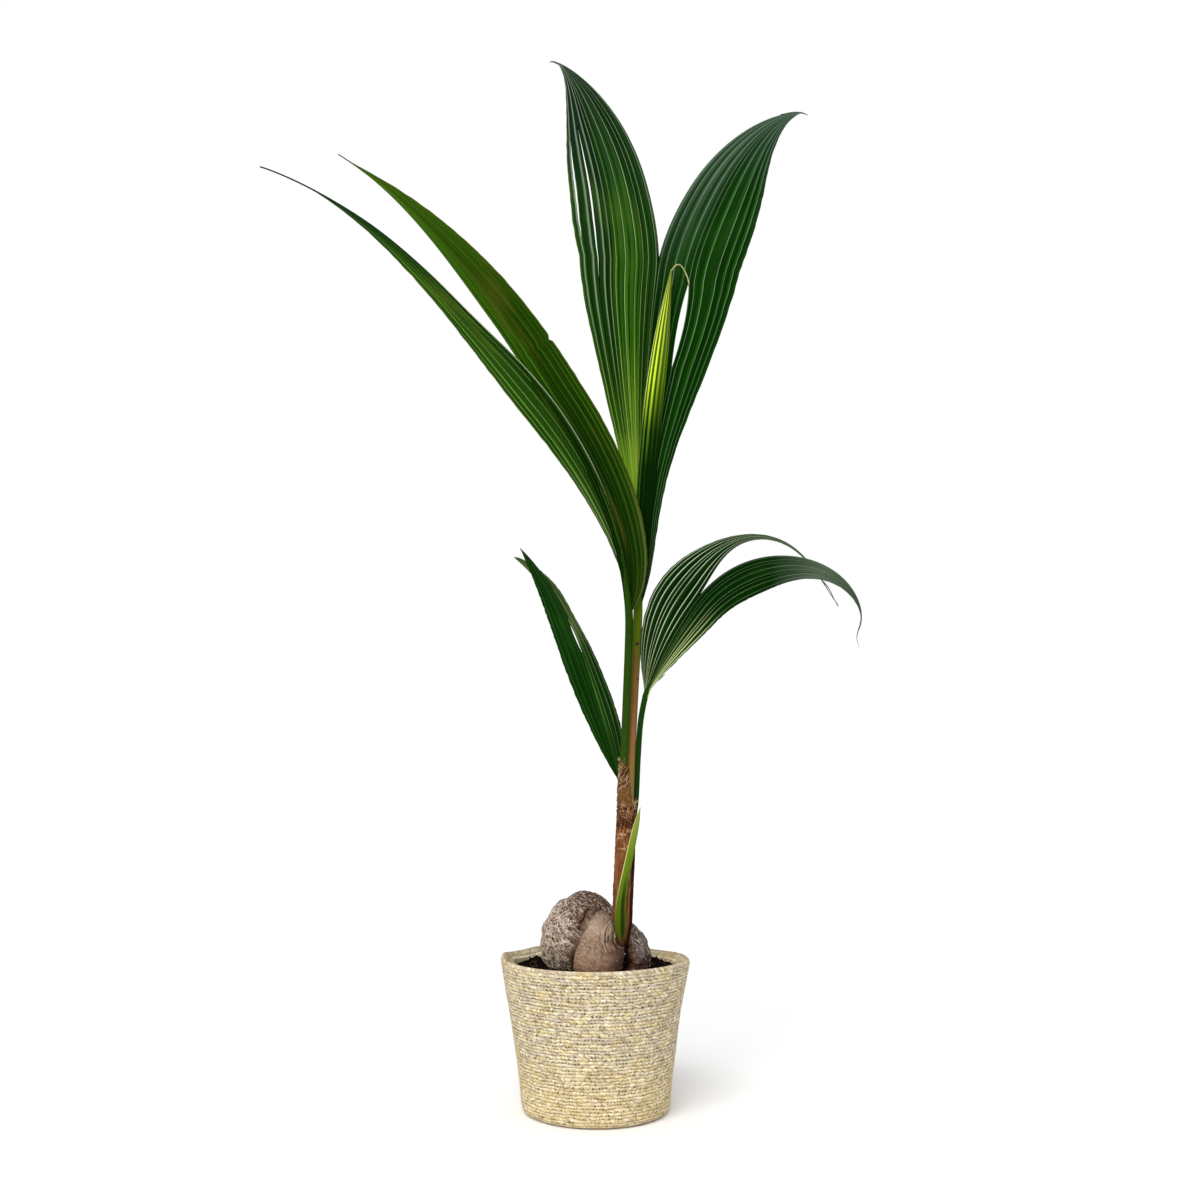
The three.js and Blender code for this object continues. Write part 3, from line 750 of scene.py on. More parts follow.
def spear_finish():
    """Folded young leaf: yellow-green pleats that turn dark green towards the foot, where the dark is painted
    shade, with painted shade on its right side and in its furrows.
    """
    f = Finish("young_leaf", 0.45, LEAF_GLOSS, LEAF_GLOSS_TINT)
    turn, share = f.surface()
    pleat = turn * float(SPEAR_PLEATS)
    off_ridge = abs(pleat.fract() - 0.5)
    # The dark green over the lower part is painted shade.
    colour = f.ramp(share, (0.0, 4, 32, 2), (0.36, 8, 42, 4), (0.46, 80, 116, 20), (0.62, 206, 234, 54),
                    (0.85, 212, 232, 76), (1.0, 176, 176, 96))
    furrow = f.ramp(share, (0.0, 1, 20, 0), (0.45, 4, 28, 2), (0.62, 48, 80, 6), (1.0, 84, 106, 28))
    from_left = (turn + 0.5).fract()
    # Painted shade on the right side; the left side stays green where the painted shade at the foot begins;
    # then painted shade along the furrows.
    colour = f.tint(colour, from_left + share * -0.12, 0.4, 0.5, 0.85, furrow)
    green_side = f.between(from_left, 0.4, 0.34) * f.between(share, 0.5, 0.4)
    colour = f.mix(green_side * 0.8, colour, (74, 116, 34))
    colour = f.tint(colour, off_ridge, 0.12, 0.34, 1.0, furrow)
    pale = f.window(from_left, 0.275, 0.295, 0.015) * f.between(share, 0.45, 0.6, 0.0, 0.85)
    colour = f.mix(pale, colour, (222, 226, 160))
    f.bump(f.streaks(pleat * 7.0, share * 4.0), 0.2, 0.3)
    return f.done(colour)


# Basket.


def basket_radius(height):
    """Outer radius at a height: the wall flares, and is drawn in a little at half height."""
    share = height / BASKET_HEIGHT
    return lerp(BASKET_FOOT_RADIUS, BASKET_RIM_RADIUS, share) - BASKET_WAIST * math.sin(math.pi * share)


def plait_relief(turn, row):
    """Relief of the braid at a turn in radians: round rows, with strands that slant one way or the other."""
    in_row = row % 1
    whole_row = math.floor(row)
    shift = math.sin(whole_row * ROW_SHIFT) * ROW_SHIFT_REACH % 1
    slant = in_row * PLAIT_SLANT * (1 if shift > 0.5 else -1)
    slanted = turn * BASKET_PLAITS / math.tau + shift + slant
    strand = abs(math.sin(math.pi * slanted)) - 0.6
    return ROW_RELIEF * math.sin(math.pi * in_row) ** 0.6 + PLAIT_RELIEF * strand


def rim_sag(turn):
    """Height that the hand-made rim gains or loses: a pinch on the left, a dip at the back right."""
    def hump(middle, width):
        off = (math.degrees(turn) - middle + 180) % 360 - 180
        return math.exp(-((off / width) ** 2))
    return 2.5 * hump(178, 13) - 5.5 * hump(52, 36) - 1.5 * hump(0, 20) - 2.5 * hump(145, 22)


def wall_place(depth, turn, row):
    """Place on the wall: depth from 0 inside to 1 outside, turn in radians, row from the foot."""
    circle = Vector((math.cos(turn), math.sin(turn), 0))
    on_lip = row > BASKET_ROWS
    level = min(row, BASKET_ROWS)
    height = level * ROW_HEIGHT
    wander = ROW_WANDER * noise.noise(circle * 4 + Vector((0, 0, level * 0.35)))
    bulge = 1.1 * noise.noise(circle * 1.6 + Vector((5, 0, level * 0.08)))
    thickness = lerp(BASKET_WALL, LIP_WIDTH, smooth_step(BASKET_ROWS - 6, BASKET_ROWS - 2, row))
    relief = plait_relief(turn, row) - ROW_RELIEF / 2
    foot = BASKET_FOOT_ROUND * (1 - math.sqrt(1 - clamp(1 - height / BASKET_FOOT_ROUND) ** 2))
    radius = basket_radius(height) + bulge - thickness * (1 - depth) - foot * depth
    if on_lip:
        edge = 1 - clamp((depth - 0.75) / 0.25)
        height += RIM_ROUND * math.sqrt(1 - (1 - edge) ** 2) - LIP_DROP * clamp(1 - depth / 0.75) ** 1.3
        height += relief * (1 - depth * 0.5)
        radius += relief * depth * 0.6
    else:
        radius += relief * (2 * depth - 1)
    sag = rim_sag(turn) * (level / BASKET_ROWS) ** 7
    fade = min(1, level, BASKET_ROWS - level)
    shift = BASKET_FOOT_SHIFT * (1 - level / BASKET_ROWS)
    return circle * radius + Vector((shift, 0, height + sag + wander * fade))


def make_basket(finish):
    """Braided wall in bands of rows, each a sheet bent to a closed ring, and a coiled floor."""
    rows = BASKET_ROWS // BASKET_BANDS
    for band in range(BASKET_BANDS):
        first = band * rows
        lip_rows = LIP_ROWS if band == BASKET_BANDS - 1 else 0
        section = [(1, first + i / STEPS_PER_ROW) for i in range(rows * STEPS_PER_ROW)]
        section += [(1 - i / LIP_STEPS, first + rows + lip_rows * i / LIP_STEPS) for i in range(LIP_STEPS)]
        section += [(0, first + rows * (1 - i / INSIDE_STEPS)) for i in range(INSIDE_STEPS)]
        section += [(i / UNDERSIDE_STEPS, first) for i in range(UNDERSIDE_STEPS + 1)]
        bm = flat_sheet(BASKET_PLAITS * COLUMNS_PER_PLAIT, len(section) - 1)
        row_of = bm.verts.layers.float.new("row")
        for vert in bm.verts:
            depth, row = section[round((vert.co.y + 0.5) * (len(section) - 1))]
            vert[row_of] = row
            vert.co = wall_place(depth, vert.co.x % 1 * math.tau, row)
        bmesh.ops.remove_doubles(bm, verts=bm.verts, dist=1e-4)
        bmesh.ops.recalc_face_normals(bm, faces=bm.faces)
        finish_piece(f"basket_wall_{band + 1}", bm, finish, "seagrass", "basket")
    bm = bmesh.new()
    floor_radius = BASKET_FOOT_RADIUS - BASKET_WALL
    top = FLOOR_THICKNESS
    profile = ((0, 0, 0), (floor_radius, 0, 0), (floor_radius, 0, top), (0, 0, top))
    corners = [bm.verts.new(place) for place in profile]
    under, _, over = [bm.edges.new((corners[i], corners[i + 1])) for i in range(3)]
    bmesh.ops.subdivide_edges(bm, edges=[under, over], cuts=FLOOR_RINGS * 4 - 1)
    bmesh.ops.spin(bm, geom=bm.verts[:] + bm.edges[:], cent=(0, 0, 0), axis=(0, 0, 1), angle=math.tau,
                   steps=240, use_merge=True)
    bmesh.ops.remove_doubles(bm, verts=bm.verts, dist=1e-4)
    row_of = bm.verts.layers.float.new("row")
    for vert in bm.verts:
        row = vert.co.xy.length / floor_radius * FLOOR_RINGS
        vert[row_of] = row
        if vert.co.z < top / 2:
            vert.co.z += 0.6 - ROW_RELIEF * abs(math.sin(math.pi * row))
            vert.co.z = max(vert.co.z, 0)
    bmesh.ops.recalc_face_normals(bm, faces=bm.faces)
    finish_piece("basket_floor", bm, finish, "seagrass", "basket")


# Soil.


def soil_height(x, y):
    mounds = 2.4 * noise.noise(Vector((x, y, 0)) * 0.045)
    return SOIL_LEVEL + mounds + 1.1 * noise.noise(Vector((x, y, 9)) * 0.17)


def make_soil():
    """Uneven soil surface with a skirt down the wall, under a scatter of crumbs and bark bits."""
    bm = bmesh.new()
    bmesh.ops.create_circle(bm, cap_ends=True, cap_tris=True, segments=160, radius=SOIL_RADIUS)
    spokes = [edge for edge in bm.edges if not edge.is_boundary]
    bmesh.ops.subdivide_edges(bm, edges=spokes, cuts=36)
    rim = [edge for edge in bm.edges if edge.is_boundary]
    skirt = bmesh.ops.extrude_edge_only(bm, edges=rim)["geom"]
    lower = {item for item in skirt if isinstance(item, bmesh.types.BMVert)}
    for vert in bm.verts:
        if vert in lower:
            vert.co = vert.co * 0.97 + Vector((0, 0, SOIL_LEVEL - SOIL_SKIRT))
        else:
            vert.co.z = soil_height(vert.co.x, vert.co.y)
    bmesh.ops.holes_fill(bm, edges=[edge for edge in bm.edges if edge.is_boundary])
    bmesh.ops.recalc_face_normals(bm, faces=bm.faces)
    finish_piece("soil", bm, soil_finish("soil", (4, 2, 2), (17, 12, 11)), "soil", "soil")
    draw = random.Random(SOIL_SEED)
    noise.seed_set(SOIL_SEED)
    kinds = [("soil_crumbs", (5, 3, 3), (23, 17, 15), 0.75, (0.7, 1.0)),
             ("soil_bark_bits", (40, 27, 18), (92, 68, 46), 0.25, (0.3, 0.6))]
    for name, dark, light, portion, flatness in kinds:
        bm = bmesh.new()
        for _ in range(int(SOIL_CRUMBS * portion)):
            radius = (SOIL_RADIUS - 2) * math.sqrt(draw.random())
            turn = draw.random() * math.tau
            x, y = radius * math.cos(turn), radius * math.sin(turn)
            crumb = bmesh.new()
            bmesh.ops.create_icosphere(crumb, subdivisions=1, radius=draw.uniform(0.7, 2.3))
            for vert in crumb.verts:
                vert.co += noise.noise_vector(vert.co * 0.8 + Vector((x, y, turn))) * 0.4
            stretch = (draw.uniform(0.7, 1.5), draw.uniform(0.6, 1.1), draw.uniform(*flatness))
            bmesh.ops.scale(crumb, vec=stretch, verts=crumb.verts)
            spin = Matrix.Rotation(draw.random() * math.tau, 3, "Z")
            bmesh.ops.rotate(crumb, cent=(0, 0, 0), matrix=spin, verts=crumb.verts)
            bmesh.ops.translate(crumb, vec=(x, y, soil_height(x, y) + 0.3), verts=crumb.verts)
            join(bm, crumb)
        finish_piece(name, bm, soil_finish(name, dark, light), "soil", "soil")


# Nut.


def lobe_reach(lobe, direction):
    """Distance from the nut's centre to one lobe's surface along a direction, found by closing in on it."""
    near, far = 0.0, 160.0
    for _ in range(20):
        reach = (near + far) / 2
        off = NUT_CENTRE + direction * reach - lobe.centre
        level = math.hypot((off.x - lobe.shear * off.z) / lobe.half.x, off.y / lobe.half.y)
        height, power = (off.z / lobe.half.z, lobe.peak) if off.z > 0 else (-off.z / lobe.below, 2)
        inside = level**power + height**power < 1
        near, far = (reach, far) if inside else (near, reach)
    return near


def nut_surface(direction):
    """Place on the nut along a direction, its share in each lobe, and how deep in a crease it is."""
    reaches = []
    for index, lobe in enumerate(NUT_LOBES):
        lump = noise.noise(direction * 4.5 + Vector((0, 0, index * 7)))
        reaches.append(lobe_reach(lobe, direction) * (1 + 0.014 * lump))
    powers = [reach**CREASE_SHARPNESS for reach in reaches]
    shares = [power / sum(powers) for power in powers]
    place = NUT_CENTRE + direction * max(reaches)
    meeting = clamp((1 - max(shares)) * 2.2)
    crease = meeting * lerp(1, 0.28, smooth_step(168, 196, place.z))
    reach = max(reaches) - 2 * smooth_step(0.1, 1, meeting) - 3 * smooth_step(0.15, 1, crease)
    for groove in NUT_GROOVES:
        first = (groove.start - NUT_CENTRE).normalized()
        last = (groove.end - NUT_CENTRE).normalized()
        way = last - first
        along = clamp((direction - first).dot(way) / way.length_squared)
        off = (direction - first.lerp(last, along).normalized()).length / groove.width
        sink = math.exp(-((off + 0.4 * noise.noise(direction * 14)) ** 2))
        reach -= groove.depth * sink
        crease = max(crease, groove.dark * sink)
    felt = noise.noise(direction * 5) * 2.2 + noise.noise(direction * 11) * 1.3
    felt += noise.noise(direction * 26) * 0.8 + noise.noise(direction * 60) * 0.45
    turn = math.atan2(direction.y, direction.x)
    fibres = math.sin(turn * 46 + 5 * noise.noise(direction * 3)) * 0.22 + noise.noise(direction * 9) * 0.8
    reach += lerp(felt, fibres, shares[1])
    return NUT_CENTRE + direction * reach, shares, crease


def make_nut(finish, fleck_finish):
    """Sprouted nut: a ball pushed out to its lobes, and pale husk fibres felted on its weathered side."""
    bm = bmesh.new()
    bmesh.ops.create_uvsphere(bm, u_segments=280, v_segments=170, radius=1)
    front, right, crease = (bm.verts.layers.float.new(name) for name in NUT_MARKS)
    for vert in bm.verts:
        vert.co, shares, depth = nut_surface(vert.co.normalized())
        vert[front], vert[right], vert[crease] = shares[1], shares[2], depth
    bmesh.ops.recalc_face_normals(bm, faces=bm.faces)
    finish_piece("nut", bm, finish, "husk", "nut")
    draw = random.Random(NUT_SEED)
    bm = bmesh.new()
    flecks = 0
    while flecks < NUT_FLECKS:
        start = Vector((draw.gauss(0, 1), draw.gauss(0, 1), draw.gauss(0.3, 1))).normalized()
        place, shares, depth = nut_surface(start)
        wanted = 0.03 if shares[1] > 0.4 else lerp(0.12, 1, smooth_step(-14, -46, place.x))
        if place.z < SOIL_LEVEL or depth > 0.3 or draw.random() > wanted:
            continue
        flecks += 1
        rise = draw.choice((-0.8, 0.5))
        way = Vector((draw.gauss(0.7, 0.3), draw.gauss(0, 0.3), draw.gauss(rise, 0.3)))
        bend = Vector((draw.gauss(0, 1), draw.gauss(0, 1), draw.gauss(0, 1)))
        reach = draw.uniform(0.03, 0.085)
        lift = draw.uniform(0.05, 0.3)
        line = []
        for share in (0, 0.4, 0.75, 1):
            heading = (start + way * reach * share + bend * reach * 0.25 * share * share).normalized()
            line.append(nut_surface(heading)[0] + heading * lift * (1 + share))
        add_fibre(bm, line, draw.uniform(0.35, 0.7), 0.35)
    finish_piece("nut_husk_fibres", bm, fleck_finish, "husk", "nut")


# Stem.


def stem_section(turn, share):
    """Felted round of the sheath, with a step at its edge on the right and a ragged, thinning top."""
    angle = turn * math.tau
    around = Vector((math.sin(angle), math.cos(angle), 0))
    radius = spline_value(STEM_HALF_WIDTHS, share) * lerp(0.45, 1, smooth_step(0, 0.12, share))
    length = share * STEM_LENGTH
    rising = math.sin(angle * 9 + length * 0.5) * math.sin(angle * 9 - length * 0.5)
    relief = 0.35 * rising + 0.8 * noise.noise(around * 2.2 + Vector((0, 0, length * 0.09)))
    relief += 0.5 * noise.noise(around * 5 + Vector((0, 0, length * 0.4)))
    bare = smooth_step(0.16, 0.12, abs(turn - STEM_BARE_TURN)) * smooth_step(0.75, 0.7, share)
    radius += relief * (1 - 0.7 * bare) - 0.9 * bare
    return radius * math.sin(angle), radius * math.cos(angle)


def stem_surface(turn, share, lift):
    """Place on the sheath, or lifted off it."""
    place, right, front = line_frame(STEM_LINE, share, 0.004)
    across, forward = stem_section(turn, share)
    reach = math.hypot(across, forward)
    grow = (reach + lift) / reach
    return place + right * across * grow + front * forward * grow


def make_stem(finish, brown_fibre, cream_fibre):
    """Stem in its fibre sheath, with brown fibres on it, and cream ones about its collar and its top."""
    bm = new_limb(STEM_LINE, 96, 260, stem_section)
    finish_piece("stem", bm, finish, "fibre_sheath", "stem")
    draw = random.Random(STEM_SEED)

    def wind(bm, share, turn, slant, rise, lift, thickness):
        line = []
        for step in (0, 0.35, 0.7, 1):
            level = clamp(share + rise * step)
            line.append(stem_surface(turn + slant * step, level, 0.25 + lift * 4 * step * (1 - step)))
        add_fibre(bm, line, thickness, 0.4)

    bm = bmesh.new()
    for _ in range(STEM_FIBRES):
        slant = draw.choice((-1, 1)) * draw.uniform(0.02, 0.14)
        wind(bm, draw.uniform(0.1, 0.75), draw.uniform(0.42, 1.05), slant, draw.uniform(0.01, 0.06),
             draw.uniform(0, 0.6), draw.uniform(0.18, 0.36))
    finish_piece("stem_fibres", bm, brown_fibre, "fibre_sheath", "stem")
    bm = bmesh.new()
    for _ in range(STEM_TOP_FIBRES):
        slant = draw.choice((-1, 1)) * draw.uniform(0.12, 0.26)
        wind(bm, draw.uniform(0.72, 0.95), draw.uniform(0.5, 1.1), slant, draw.uniform(0.03, 0.09), 0.2,
             draw.uniform(0.26, 0.46))
    for _ in range(STEM_COLLAR_FIBRES):
        wind(bm, draw.uniform(0.4, 0.56), draw.uniform(0.55, 0.95), draw.uniform(0.06, 0.2),
             draw.uniform(-0.04, 0.04), draw.uniform(0.1, 1.2), draw.uniform(0.16, 0.3))
    for index in range(STEM_STRAYS):
        at_top = index < STRAYS_AT_TOP
        share = draw.uniform(0.975, 1.0) if at_top else draw.uniform(0.49, 0.56)
        turn = draw.uniform(0.35, 1.1) if at_top else draw.uniform(0.1, 0.3)
        root = stem_surface(turn, share, 0)
        lean = draw.uniform(-2.5, 1) if at_top else draw.uniform(0, 3.5)
        tip = root + Vector((lean, draw.uniform(-2, 1.5), draw.uniform(2, 6)))
        stray = Vector((draw.uniform(-1, 1.5), draw.uniform(-1.5, 0.5), draw.uniform(-0.5, 1)))
        middle = (root + tip) / 2 + stray
        add_fibre(bm, [root, middle, tip], draw.uniform(0.24, 0.5))
    finish_piece("stem_cream_fibres", bm, cream_fibre, "fibre_sheath", "stem")


# Leaves.


def lean_direction(side, fore):
    s, f = math.radians(side), math.radians(fore)
    return Vector((math.sin(s) * math.cos(f), -math.sin(f), math.cos(s) * math.cos(f)))


def edge_direction(rachis, blade, distance):
    """Direction of a leaf's inner edge at a distance from the blade's foot."""
    on_rachis = min(distance / rachis.length, 1)
    on_blade = clamp((distance - rachis.length) / blade.length)
    turn = 1 - (1 - on_blade**blade.bend) ** blade.ease
    side = lerp(*rachis.side, on_rachis) + (blade.side - rachis.side[1]) * turn
    fore = lerp(*rachis.fore, on_rachis) + (blade.fore - rachis.fore[1]) * turn
    return lean_direction(side, fore)


def inner_edge(leaf, blade):
    """Inner edge of a half blade as evenly spaced stations, each a place and a direction."""
    step = (leaf.rachis.length + blade.length) / EDGE_STEPS
    place, along = leaf.foot.copy(), edge_direction(leaf.rachis, blade, 0)
    stations = []
    for i in range(EDGE_STEPS + 1):
        stations.append((place.copy(), along))
        following = edge_direction(leaf.rachis, blade, (i + 1) * step)
        place += (along + following) * (step / 2)
        along = following
    return stations


def station_at(stations, share):
    at = share * EDGE_STEPS
    low = min(int(at), EDGE_STEPS - 1)
    (place, along), (next_place, next_along) = stations[low], stations[low + 1]
    return place.lerp(next_place, at - low), along.lerp(next_along, at - low).normalized()


def blade_width(blade, share):
    """Width of a half blade: two powers that meet at its widest place, and its foot."""
    widest = blade.foot_taper / (blade.foot_taper + blade.tip_taper)
    rise = (share / widest) ** blade.foot_taper
    fall = ((1 - share) / (1 - widest)) ** blade.tip_taper
    foot = share / FOOT_WIDTH_AT * math.exp(1 - share / FOOT_WIDTH_AT)
    return blade.width * rise * fall + blade.foot_width * foot


def rachis_radius(leaf, blade, share):
    reach = share * (leaf.rachis.length + blade.length) / leaf.rachis.length
    return lerp(leaf.stalk_radius, leaf.rachis.tip_radius, min(reach, 1))


def blade_frames(leaf, blade):
    """Function for a half blade's cross frame at a share: place, way out, upper side, and two reaches."""
    stations = inner_edge(leaf, blade)

    @functools.lru_cache(maxsize=None)
    def frame_at(share):
        place, along = station_at(stations, share)
        right, front = cross_frame(along)
        roll = math.radians(lerp(*blade.roll, share))
        out = right * (blade.hand * math.cos(roll)) + front * math.sin(roll)
        upper = out.cross(along) * (blade.hand * leaf.upper_side)
        past_notch = share * (leaf.rachis.length + blade.length) - leaf.rachis.length
        overlap = blade.overlap * smooth_step(OVERLAP_FADE, 0, past_notch)
        inner = 0.4 * rachis_radius(leaf, blade, share) - overlap
        inner += sum(slit_opening(gap, share) for gap in blade.partings)
        inner += spline_value(blade.inner_stray, share)
        margin = blade_width(blade, share) + spline_value(blade.margin_stray, share)
        for nick in blade.nicks:
            margin -= nick.depth * math.exp(-(((share - nick.at) / NICK_WIDTH) ** 2))
        outer = max(margin, inner + lerp(2.4, 1.1, share**3))
        return place, out, upper, inner, outer

    return frame_at


def slit_opening(slit, share):
    """Opening of a slit or a parting at a share of the way: a lens between its two ends."""
    way = (share - slit.start) / (slit.end - slit.start)
    return slit.width * math.sin(math.pi * way) ** 0.8 if 0 < way < 1 else 0


def spread(flat, side, share, blade):
    """Share across the blade of a sheet's share: uneven pleats, drawn together beside an open slit."""
    across = flat + 0.03 * math.sin(14.5 * flat + blade.length) * min(1, 4 * flat, 4 - 4 * flat)
    across *= 1 - sum(slit_opening(slit, share) for slit in blade.slits)
    return across + sum(slit_opening(slit, share) for slit in blade.slits if side > slit.across)


def pleat_wave(across, pleats):
    """Height of the pleats from -1 in a furrow to 1 on a ridge."""
    wave = math.cos(math.tau * (across * pleats - 0.5))
    return math.asin(0.99 * wave) / math.asin(0.99)


def make_blade(leaf, blade, finish, slot):
    """Half blade: a sheet bent to its edges, pleated, slit where it is torn, and given its thickness."""
    columns = blade.pleats * COLUMNS_PER_PLEAT
    bm = flat_sheet(columns, BLADE_ROWS)
    for slit in blade.slits:
        torn = []
        for edge in bm.edges:
            middle = (edge.verts[0].co + edge.verts[1].co) / 2 + Vector((0.5, 0.5, 0))
            if abs(middle.x - slit.across) < 1e-4 and slit.start < middle.y < slit.end:
                torn.append(edge)
        bmesh.ops.split_edges(bm, edges=torn)
    sides = {vert: sum(face.calc_center_median().x for face in vert.link_faces) / len(vert.link_faces) + 0.5
             for vert in bm.verts}
    frame_at = blade_frames(leaf, blade)
    seed = Vector((len(leaf.name), blade.length * 0.37, 0))
    for vert in bm.verts:
        flat, share = vert.co.x + 0.5, vert.co.y + 0.5
        place, out, upper, inner, outer = frame_at(round(share, 5))
        across = spread(flat, sides[vert], share, blade)
        span = outer - inner
        rough = MARGIN_ROUGHNESS * noise.noise(seed + Vector((0, 0, share * 60)))
        rough *= min(1, span / 12) * across**6
        bow = BLADE_BOW * span * 4 * across * (1 - across)
        pleat = blade.fold * PLEAT_DEPTH * span / blade.pleats * pleat_wave(flat, blade.pleats)
        sway = BLADE_SWAY * noise.noise(seed + Vector((across * 1.5, 7, share * 5))) * min(1, span / 20)
        vert.co = place + out * (inner + span * across + rough) + upper * (bow + pleat + sway)
    bmesh.ops.recalc_face_normals(bm, faces=bm.faces)
    name = f"{leaf.name}_{blade.name}"
    nodes = [name + "_rise", name + "_fall"] if blade.cut else [name]
    piece = finish_piece(name, bm, finish, slot, *nodes)
    thicken = piece.modifiers.new("thickness", "SOLIDIFY")
    thicken.thickness = BLADE_THICKNESS * MM
    thicken.offset = 0


def make_stalk(leaf, finish):
    """Stalk and rachis as one tapering limb with a shallow channel on the leaf's upper side."""
    stations = inner_edge(leaf, leaf.blades[0])
    notch = leaf.rachis.length / (leaf.rachis.length + leaf.blades[0].length)
    line = list(leaf.stalk)
    for i in range(9):
        line.append(station_at(stations, notch * i / 8)[0] - FRONT * leaf.rachis.set_back * min(1, i / 2))
    foot_at = len(leaf.stalk) / (len(line) - 1)

    def section(turn, share):
        on_rachis = max(0, (share - foot_at) / (1 - foot_at))
        radius = lerp(leaf.stalk_radius, leaf.rachis.tip_radius, on_rachis)
        angle = turn * math.tau
        channel = 0.22 * smooth_step(0.6, 1, leaf.upper_side * math.cos(angle)) * smooth_step(0, 0.2, share)
        ridges = 0.03 * math.cos(angle * 9)
        radius *= 1 - channel + ridges
        return radius * math.sin(angle), radius * math.cos(angle)

    bm = new_limb(line, 36, 16 * (len(line) - 1), section)
    finish_piece(f"{leaf.name}_stalk", bm, finish, "leaf_stalk", f"{leaf.name}_stalk")


def make_first_leaf(finish):
    """Bladeless first leaf: a flat pointed scale, folded along its middle, clasping the stem."""
    def section(turn, share):
        angle = turn * math.tau
        width = max(spline_value(FIRST_LEAF_HALF_WIDTHS, share), 0.3)
        depth = min(FIRST_LEAF_HALF_DEPTH, width)
        fold = 0.18 * width * abs(math.sin(angle))
        return width * math.sin(angle), depth * math.cos(angle) - fold

    bm = new_limb(FIRST_LEAF_LINE, 48, 120, section)
    finish_piece("first_leaf", bm, finish, "young_leaf", "first_leaf")


def make_spear(finish):
    """Folded spear leaf with lengthwise pleats."""
    def section(turn, share):
        angle = turn * math.tau
        width = max(spline_value(SPEAR_HALF_WIDTHS, share), 0.5)
        depth = min(SPEAR_HALF_DEPTH, width)
        pleat = 1 - 0.4 * (0.5 + 0.5 * math.cos(math.tau * turn * SPEAR_PLEATS))
        return width * math.sin(angle), depth * math.cos(angle) * pleat

    bm = new_limb(SPEAR_LINE, SPEAR_PLEATS * 8, 140, section)
    finish_piece("spear_leaf", bm, finish, "young_leaf", "spear_leaf")


def blade_place(frame_at, share, across):
    place, out, _, inner, outer = frame_at(share)
    return place + out * lerp(inner, outer, across)


def make_thread(leaf, blade, across, shares, offsets, thickness, finish, slot):
    """Dry end of a half blade: a tapering thread that lies on it at the shares, and runs on past its tip."""
    frame_at = blade_frames(leaf, blade)
    tip = blade_place(frame_at, 1, across)
    line = [blade_place(frame_at, share, across) for share in shares]
    line += [tip + Vector(offset) for offset in offsets]
    bm = new_limb(line, 10, 36, round_section(lambda share: thickness * lerp(1, 0.15, share), 0.25))
    node = f"{leaf.name}_{blade.name}"
    finish_piece(f"{node}_thread", bm, finish, slot, node + "_fall" if blade.cut else node)


def make_frayed_tips(finish):
    """Torn leaflet tips that stand off the lower edge of the arching leaf."""
    frame_at = blade_frames(ARCHING_LEAF, ARCHING_LEAF.blades[1])
    for index, share in enumerate(FRAYED_TIPS_AT):
        root = blade_place(frame_at, share, 0.96)
        line = [root, root + Vector((4, -2, 3.4)), root + Vector((8.6, -3.6, 7))]
        bm = new_limb(line, 8, 16, round_section(lambda share: 1.2 * lerp(1, 0.1, share), 0.4))
        name = f"arching_leaf_frayed_tip_{index + 1}"
        finish_piece(name, bm, finish, "dark_leaf_blade", "arching_leaf_front_blade_rise")


def make_rein(finish):
    """The dry rein that curls over from the spear's tip to the slit in the blade behind it."""
    bm = new_limb(REIN_LINE, 8, 40, round_section(lambda share: REIN_RADIUS))
    finish_piece("spear_leaf_rein", bm, finish, "young_leaf", "spear_leaf")


# Stage.


def make_stage():
    """Plain white floor, a soft sun from the front and upper left, a sky brighter above, and the camera."""
    bm = bmesh.new()
    bmesh.ops.create_grid(bm, x_segments=1, y_segments=1, size=6)
    finish = Finish("floor_white", 0.9, 0.1)
    finish.shader.inputs["Base Color"].default_value = FLOOR_WHITE
    floor = add_mesh("floor", bm, finish.material)
    floor.location.z = -FLOOR_DROP
    world = bpy.data.worlds.new("studio")
    nodes = Nodes(world)
    height = nodes.axes(nodes.add("ShaderNodeTexCoord", "Generated", {}))[2]
    levels = {"From Min": SKY_FROM, "From Max": 1.0, "To Min": SKY_BELOW, "To Max": SKY_ABOVE}
    glow = nodes.add("ShaderNodeMapRange", "Result", {"Value": height, **levels})
    seen = nodes.add("ShaderNodeLightPath", "Is Camera Ray", {})
    backdrop = nodes.add("ShaderNodeMix", "Result", {"Factor": seen, "A": glow, "B": 1})
    sky = world.node_tree.nodes["Background"]
    nodes.feed(sky.inputs["Color"], (255, 255, 255))
    nodes.feed(sky.inputs["Strength"], backdrop)
    bpy.context.scene.world = world
    sun = bpy.data.lights.new("key", "SUN")
    sun.energy = SUN_STRENGTH
    sun.angle = math.radians(SUN_SOFTNESS)
    key = add_object("key", sun)
    key.rotation_euler = (math.radians(SUN_TILT), 0, math.radians(SUN_TURN))
    lens = bpy.data.cameras.new("camera")
    lens.lens = CAMERA_LENS
    camera = add_object("camera", lens)
    camera.location = CAMERA_PLACE
    camera.rotation_euler = (math.pi / 2 + CAMERA_PITCH, 0, 0)
    bpy.context.scene.camera = camera
    bpy.context.scene.view_settings.view_transform = "Standard"


